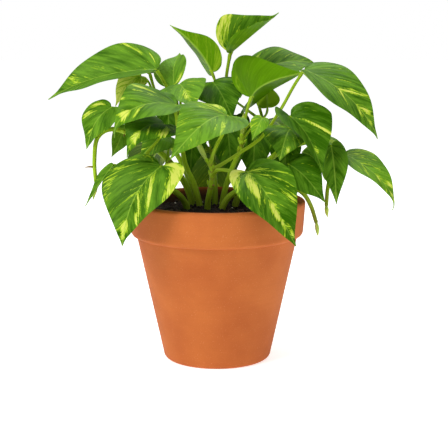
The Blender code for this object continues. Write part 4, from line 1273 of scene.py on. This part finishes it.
def build_pot(settings):
    """Clay pot: its profile turned round Z, with faint turning rings and a slight wobble.

    A point's radius is the profile's, plus half the turning height times the mean of two sines
    of the height, plus a few hundredths of a millimetre of wobble that goes twice round the pot.
    """
    radius, height = pot_profile().T[..., None]
    turn = turns(POT_SIDES)
    outer = radius > inner_radius(height) + THINNEST_WALL
    rings = settings.turning * (0.5 * np.sin(height * 1.3) + 0.5 * np.sin(height * 0.47 + 1))
    rings = rings * outer * (height > EDGE_ROUNDING) * (height < POT_HEIGHT - LIP_ROUNDING)
    radius = radius + rings * 0.5 + POT_WOBBLE * np.sin(2 * turn + 0.7) * (height > 2)
    points = rings_round_z(radius, height, turn)
    inside = ~outer & (height > FLOOR_THICKNESS - 0.5)
    # Dark share of the inner wall: wet near the soil, and painted shade up the wall, fading towards
    # the rim.
    damp_and_shade_share = inside * (1 - RIM_FADE_OF_DAMP_AND_SHADE * smoothstep(SOIL_EDGE_HEIGHT + 8, POT_HEIGHT, height))
    piece = put_mesh("clay_pot", points.reshape(-1, 3),
                     [grid_faces(*radius.shape, ring=True, loop=True)],
                     [clay_material(settings)], attributes={"damp_and_shade": np.repeat(damp_and_shade_share, POT_SIDES)},
                     sharp=35)
    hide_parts("pot")


def soil_height(x, y, lumps):
    """Height of the soil's surface: a low mound, its lumps, and a small rise at each vine.

    The lumps are SOIL_WAVES sets of crossed sines, each finer and lower than the last.
    """
    radius = np.hypot(x, y)
    height = SOIL_EDGE_HEIGHT + SOIL_CROWN * (1 - (radius / inner_radius(SOIL_EDGE_HEIGHT)) ** 2)
    for step, (wave, share) in enumerate(SOIL_WAVES):
        a, b = TAU / wave * x, TAU / wave * y
        height = height + lumps * share * (np.sin(a + 1.3 * np.sin(b * 0.9 + step))
                                           * np.cos(b + 1.1 * np.sin(a * 1.1 + 2 * step)))
    for points in VINES.values():
        foot = np.mean(points[:2], axis=0)
        height = height + VINE_RISE * bell(np.hypot(x - foot[0], y - foot[1]), VINE_RISE_REACH)
    return height


def build_soil(settings):
    """Potting soil: a closed polar surface, lumpy on top and tapering with the pot below.

    Returns the piece, whose material its crumbs share.
    """
    bottom = FLOOR_THICKNESS + GAP
    turn = turns(SOIL_SIDES)
    across = (inner_radius(SOIL_EDGE_HEIGHT) - GAP) * np.linspace(1, 0, SOIL_RINGS + 1)[:-1, None]
    top = soil_height(across * np.cos(turn), across * np.sin(turn), settings.lumps)
    levels = np.linspace(bottom, SOIL_EDGE_HEIGHT - 4, 12)[:, None]
    grid = np.concatenate([rings_round_z(inner_radius(levels) - GAP, levels, turn),
                           rings_round_z(across, top, turn)])
    points = np.vstack([grid.reshape(-1, 3), (0, 0, bottom),
                        (0, 0, soil_height(0.0, 0.0, settings.lumps))])
    piece = put_mesh("potting_mix", points, [grid_faces(len(grid), SOIL_SIDES, ring=True),
                                             end_fans(len(grid), SOIL_SIDES)],
                     [soil_material(settings)], sharp=70)
    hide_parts("soil")
    return piece


def pebble():
    """Points and triangles of an icosahedron of radius 1, the start of every crumb."""
    g = (1 + math.sqrt(5)) / 2
    points = unit([(-1, g, 0), (1, g, 0), (-1, -g, 0), (1, -g, 0), (0, -1, g), (0, 1, g),
                   (0, -1, -g), (0, 1, -g), (g, 0, -1), (g, 0, 1), (-g, 0, -1), (-g, 0, 1)])
    faces = np.array([(0, 11, 5), (0, 5, 1), (0, 1, 7), (0, 7, 10), (0, 10, 11), (1, 5, 9),
                      (5, 11, 4), (11, 10, 2), (10, 7, 6), (7, 1, 8), (3, 9, 4), (3, 4, 2),
                      (3, 2, 6), (3, 6, 8), (3, 8, 9), (4, 9, 5), (2, 4, 11), (6, 2, 10),
                      (8, 6, 7), (9, 8, 1)])
    return points, faces


def turned(across, up, angle):
    """Both coordinates of points turned by an angle in their plane."""
    return (across * np.cos(angle) - up * np.sin(angle),
            across * np.sin(angle) + up * np.cos(angle))


def scatter(name, count, size, flat, seed, material, lumps):
    """Loose pieces on the soil as one mesh: icosahedra, each squashed, turned and roughened.

    Centres are even over the soil's disc (radius as the square root of a random number). Each
    piece has its own three half-axes, a random turn about Z, a random tilt, and each of its
    corners moves in or out by up to a fifth.
    """
    draw = np.random.default_rng(seed)
    shape, faces = pebble()
    edge = inner_radius(SOIL_EDGE_HEIGHT) - SCATTER_MARGIN
    radius, bearing = edge * np.sqrt(draw.random(count)), TAU * draw.random(count)
    x, y = radius * np.cos(bearing), radius * np.sin(bearing)
    scale = size[0] + (size[1] - size[0]) * draw.random(count) ** 2
    half = np.stack([np.ones(count), 0.55 + 0.4 * draw.random(count),
                     flat * (0.7 + 0.5 * draw.random(count))], -1) * scale[:, None]
    local = shape[None] * half[:, None] * (0.8 + 0.4 * draw.random((count, 12, 1)))
    turn, tilt = TAU * draw.random(count)[:, None], 0.9 * (draw.random(count)[:, None] - 0.5)
    ahead, up = turned(local[..., 0], local[..., 2], -tilt)
    ahead, side = turned(ahead, local[..., 1], turn)
    up = up + (soil_height(x, y, lumps) + 0.25 * half[:, 2])[:, None]
    points = np.stack([ahead + x[:, None], side + y[:, None], up], -1).reshape(-1, 3)
    all_faces = (faces[None] + 12 * np.arange(count)[:, None, None]).reshape(-1, 3)
    piece = put_mesh(name, points, [all_faces], [material])


# ---------------------------------------------------------------- stage, in metres

FLOOR_HALF = 6.0
AIM = (0.0, 0.0, 0.17)
CAMERA_PLACE = (0.0061, -1.05, 0.3095)
CAMERA_TILT = 79.76
SENSOR_WIDTH = 36.0
FOCAL_LENGTH = 96.8


def put_on_stage(name, data, place=(0, 0, 0), turn=(0, 0, 0)):
    """Link a new object of the stage at a place, turned by Euler angles in radians."""
    made = bpy.data.objects.new(name, data)
    made.location, made.rotation_euler = place, turn
    bpy.context.scene.collection.objects.link(made)
    return made


def build_floor(settings):
    """A pale floor that gives off a little light of its own.

    Matt white paper: the eye sees an even pale ground with a fine tooth. It is a lit table, so
    light from below keeps it pale as far as it goes.
    """
    made, add, shader = new_material("matt_white_paper_floor", Roughness=0.9, Emission_Color=WHITE,
                                     Emission_Strength=settings.glow)
    place = add("TexCoord").outputs["Object"]
    tooth = add("TexNoise", {"Vector": place, "Scale": 900.0, "Detail": 2.0})
    white = add("ValToRGB", {"Fac": tooth}, stops=((0.3, 0.98 * settings.floor),
                                                   (0.7, settings.floor)))
    feed(shader, {"Base Color": white})
    mesh = bpy.data.meshes.new("floor")
    corners = [(x * FLOOR_HALF, y * FLOOR_HALF, 0) for x, y in ((-1, -1), (1, -1), (1, 1), (-1, 1))]
    mesh.from_pydata(corners, [], [(0, 1, 2, 3)])
    mesh.materials.append(made)
    floor = put_on_stage("floor", mesh)


def build_world(settings):
    """A studio that lights from above more than from all round, and that the camera sees white."""
    world = bpy.data.worlds.new("studio")
    world.use_nodes = True
    bpy.context.scene.world = world
    tree = world.node_tree
    add = partial(add_node, tree)
    upward = add("SeparateXYZ", {0: add("TexCoord").outputs["Generated"]})
    strength = add("MapRange", {"Value": upward.outputs[2], "To Min": settings.horizon,
                                "To Max": settings.sky})
    soft = tree.nodes["Background"]
    feed(soft, {"Color": WHITE, "Strength": strength})
    bright = add("Background", {"Color": WHITE, "Strength": 1.0})
    seen = add("LightPath").outputs["Is Camera Ray"]
    both = add("MixShader", {0: seen, 1: soft, 2: bright})
    feed(tree.nodes["World Output"], {"Surface": both})


def build_stage(settings):
    """Floor, world, three soft boxes aimed at the plant, and the camera."""
    build_floor(settings)
    build_world(settings)
    # Soft boxes: name, power, width and place.
    for name, power, width, place in (
            ("key", settings.key, 0.8, (-0.90, -0.85, 1.45)),
            ("fill", settings.fill, 1.2, (1.4, -1.0, 0.6)),
            ("top", settings.fill * 1.6, 1.0, (0.25, 0.7, 1.5))):
        light = bpy.data.lights.new(name, "AREA")
        light.energy, light.size = power, width
        x, y, z = np.subtract(place, AIM)
        put_on_stage(name, light, place, (math.atan2(math.hypot(x, y), z), 0, math.atan2(x, -y)))
    data = bpy.data.cameras.new("camera")
    data.sensor_width, data.lens = SENSOR_WIDTH, FOCAL_LENGTH
    scene = bpy.context.scene
    scene.camera = put_on_stage("camera", data, CAMERA_PLACE, (math.radians(CAMERA_TILT), 0, 0))
    scene.view_settings.view_transform = "Standard"


# ---------------------------------------------------------------- operators

class POTHOS_OT_stage(bpy.types.Operator):
    """Lay the floor, and set the lights and the camera"""
    bl_idname = "pothos.stage"
    bl_label = "Stage"

    def execute(self, context):
        build_stage(context.scene.pothos_stage)
        return {"FINISHED"}


class POTHOS_OT_pot(bpy.types.Operator):
    """Turn the clay pot"""
    bl_idname = "pothos.pot"
    bl_label = "Clay pot"

    def execute(self, context):
        build_pot(context.scene.pothos_pot)
        return {"FINISHED"}


class POTHOS_OT_soil(bpy.types.Operator):
    """Fill the pot with potting mix, and scatter crumbs, bark and perlite on it"""
    bl_idname = "pothos.soil"
    bl_label = "Potting mix"

    def execute(self, context):
        settings = context.scene.pothos_soil
        peat = build_soil(settings).data.materials[0]
        # Name, count, least and greatest half-length in mm, flatness, seed and material.
        for name, count, size, flat, seed, material in (
                ("soil_crumbs", settings.crumbs, (0.7, 2.4), 0.7, 5, peat),
                ("bark_chips", 70, (1.8, 5.0), 0.28, 6, bark_material(settings)),
                ("perlite_grains", 45, (0.5, 1.4), 0.8, 7, perlite_material(settings))):
            scatter(name, count, size, flat, seed, material, settings.lumps)
        return {"FINISHED"}


class POTHOS_OT_vines(bpy.types.Operator):
    """Grow the vine stems and the leaf stalks"""
    bl_idname = "pothos.vines"
    bl_label = "Vines and stalks"

    def execute(self, context):
        skin = stem_material(context.scene.pothos_stem)
        for number, name in enumerate(VINES):
            build_vine(name, number, skin)
        for number, name in enumerate(LEAVES):
            build_stalk(name, number + len(VINES), skin)
        return {"FINISHED"}


class POTHOS_OT_leaves(bpy.types.Operator):
    """Grow the leaf blades and the rolled new leaves"""
    bl_idname = "pothos.leaves"
    bl_label = "Leaves"

    def execute(self, context):
        settings = context.scene.pothos_leaf
        upper, under = upper_leaf_material(settings), under_leaf_material(settings)
        for number, name in enumerate(LEAVES):
            build_blade(name, number, settings, upper, under)
        tender = young_leaf_material(settings)
        for number, name in enumerate(NEW_LEAVES):
            build_new_leaf(name, number, tender)
        return {"FINISHED"}


class POTHOS_PT_panel(bpy.types.Panel):
    """The plant's pieces and their settings"""
    bl_idname = "POTHOS_PT_panel"
    bl_label = "Potted Pothos"
    bl_space_type = "VIEW_3D"
    bl_region_type = "UI"
    bl_category = "Pothos"

    def draw(self, context):
        for operator, name, _ in STEPS:
            box = self.layout.box()
            box.operator(operator.bl_idname)
            settings = getattr(context.scene, name)
            for key in settings.__annotations__:
                box.prop(settings, key)


# Each operator, and the name and class of the settings that it reads, in the order of making.
STEPS = (
    (POTHOS_OT_stage, "pothos_stage", StageSettings),
    (POTHOS_OT_pot, "pothos_pot", PotSettings),
    (POTHOS_OT_soil, "pothos_soil", SoilSettings),
    (POTHOS_OT_vines, "pothos_stem", StemSettings),
    (POTHOS_OT_leaves, "pothos_leaf", LeafSettings),
)


def register():
    """Register the classes and put each group of settings on the scene."""
    for operator, name, group in STEPS:
        bpy.utils.register_class(group)
        bpy.utils.register_class(operator)
        setattr(bpy.types.Scene, name, PointerProperty(type=group))
    bpy.utils.register_class(POTHOS_PT_panel)


def unregister():
    """Take the settings and the classes away again."""
    bpy.utils.unregister_class(POTHOS_PT_panel)
    for operator, name, group in reversed(STEPS):
        delattr(bpy.types.Scene, name)
        bpy.utils.unregister_class(operator)
        bpy.utils.unregister_class(group)


def main():
    """Register the add-on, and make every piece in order."""
    register()
    for operator, _, _ in STEPS:
        group, name = operator.bl_idname.split(".")
        getattr(getattr(bpy.ops, group), name)()


if __name__ == "__main__":
    main()
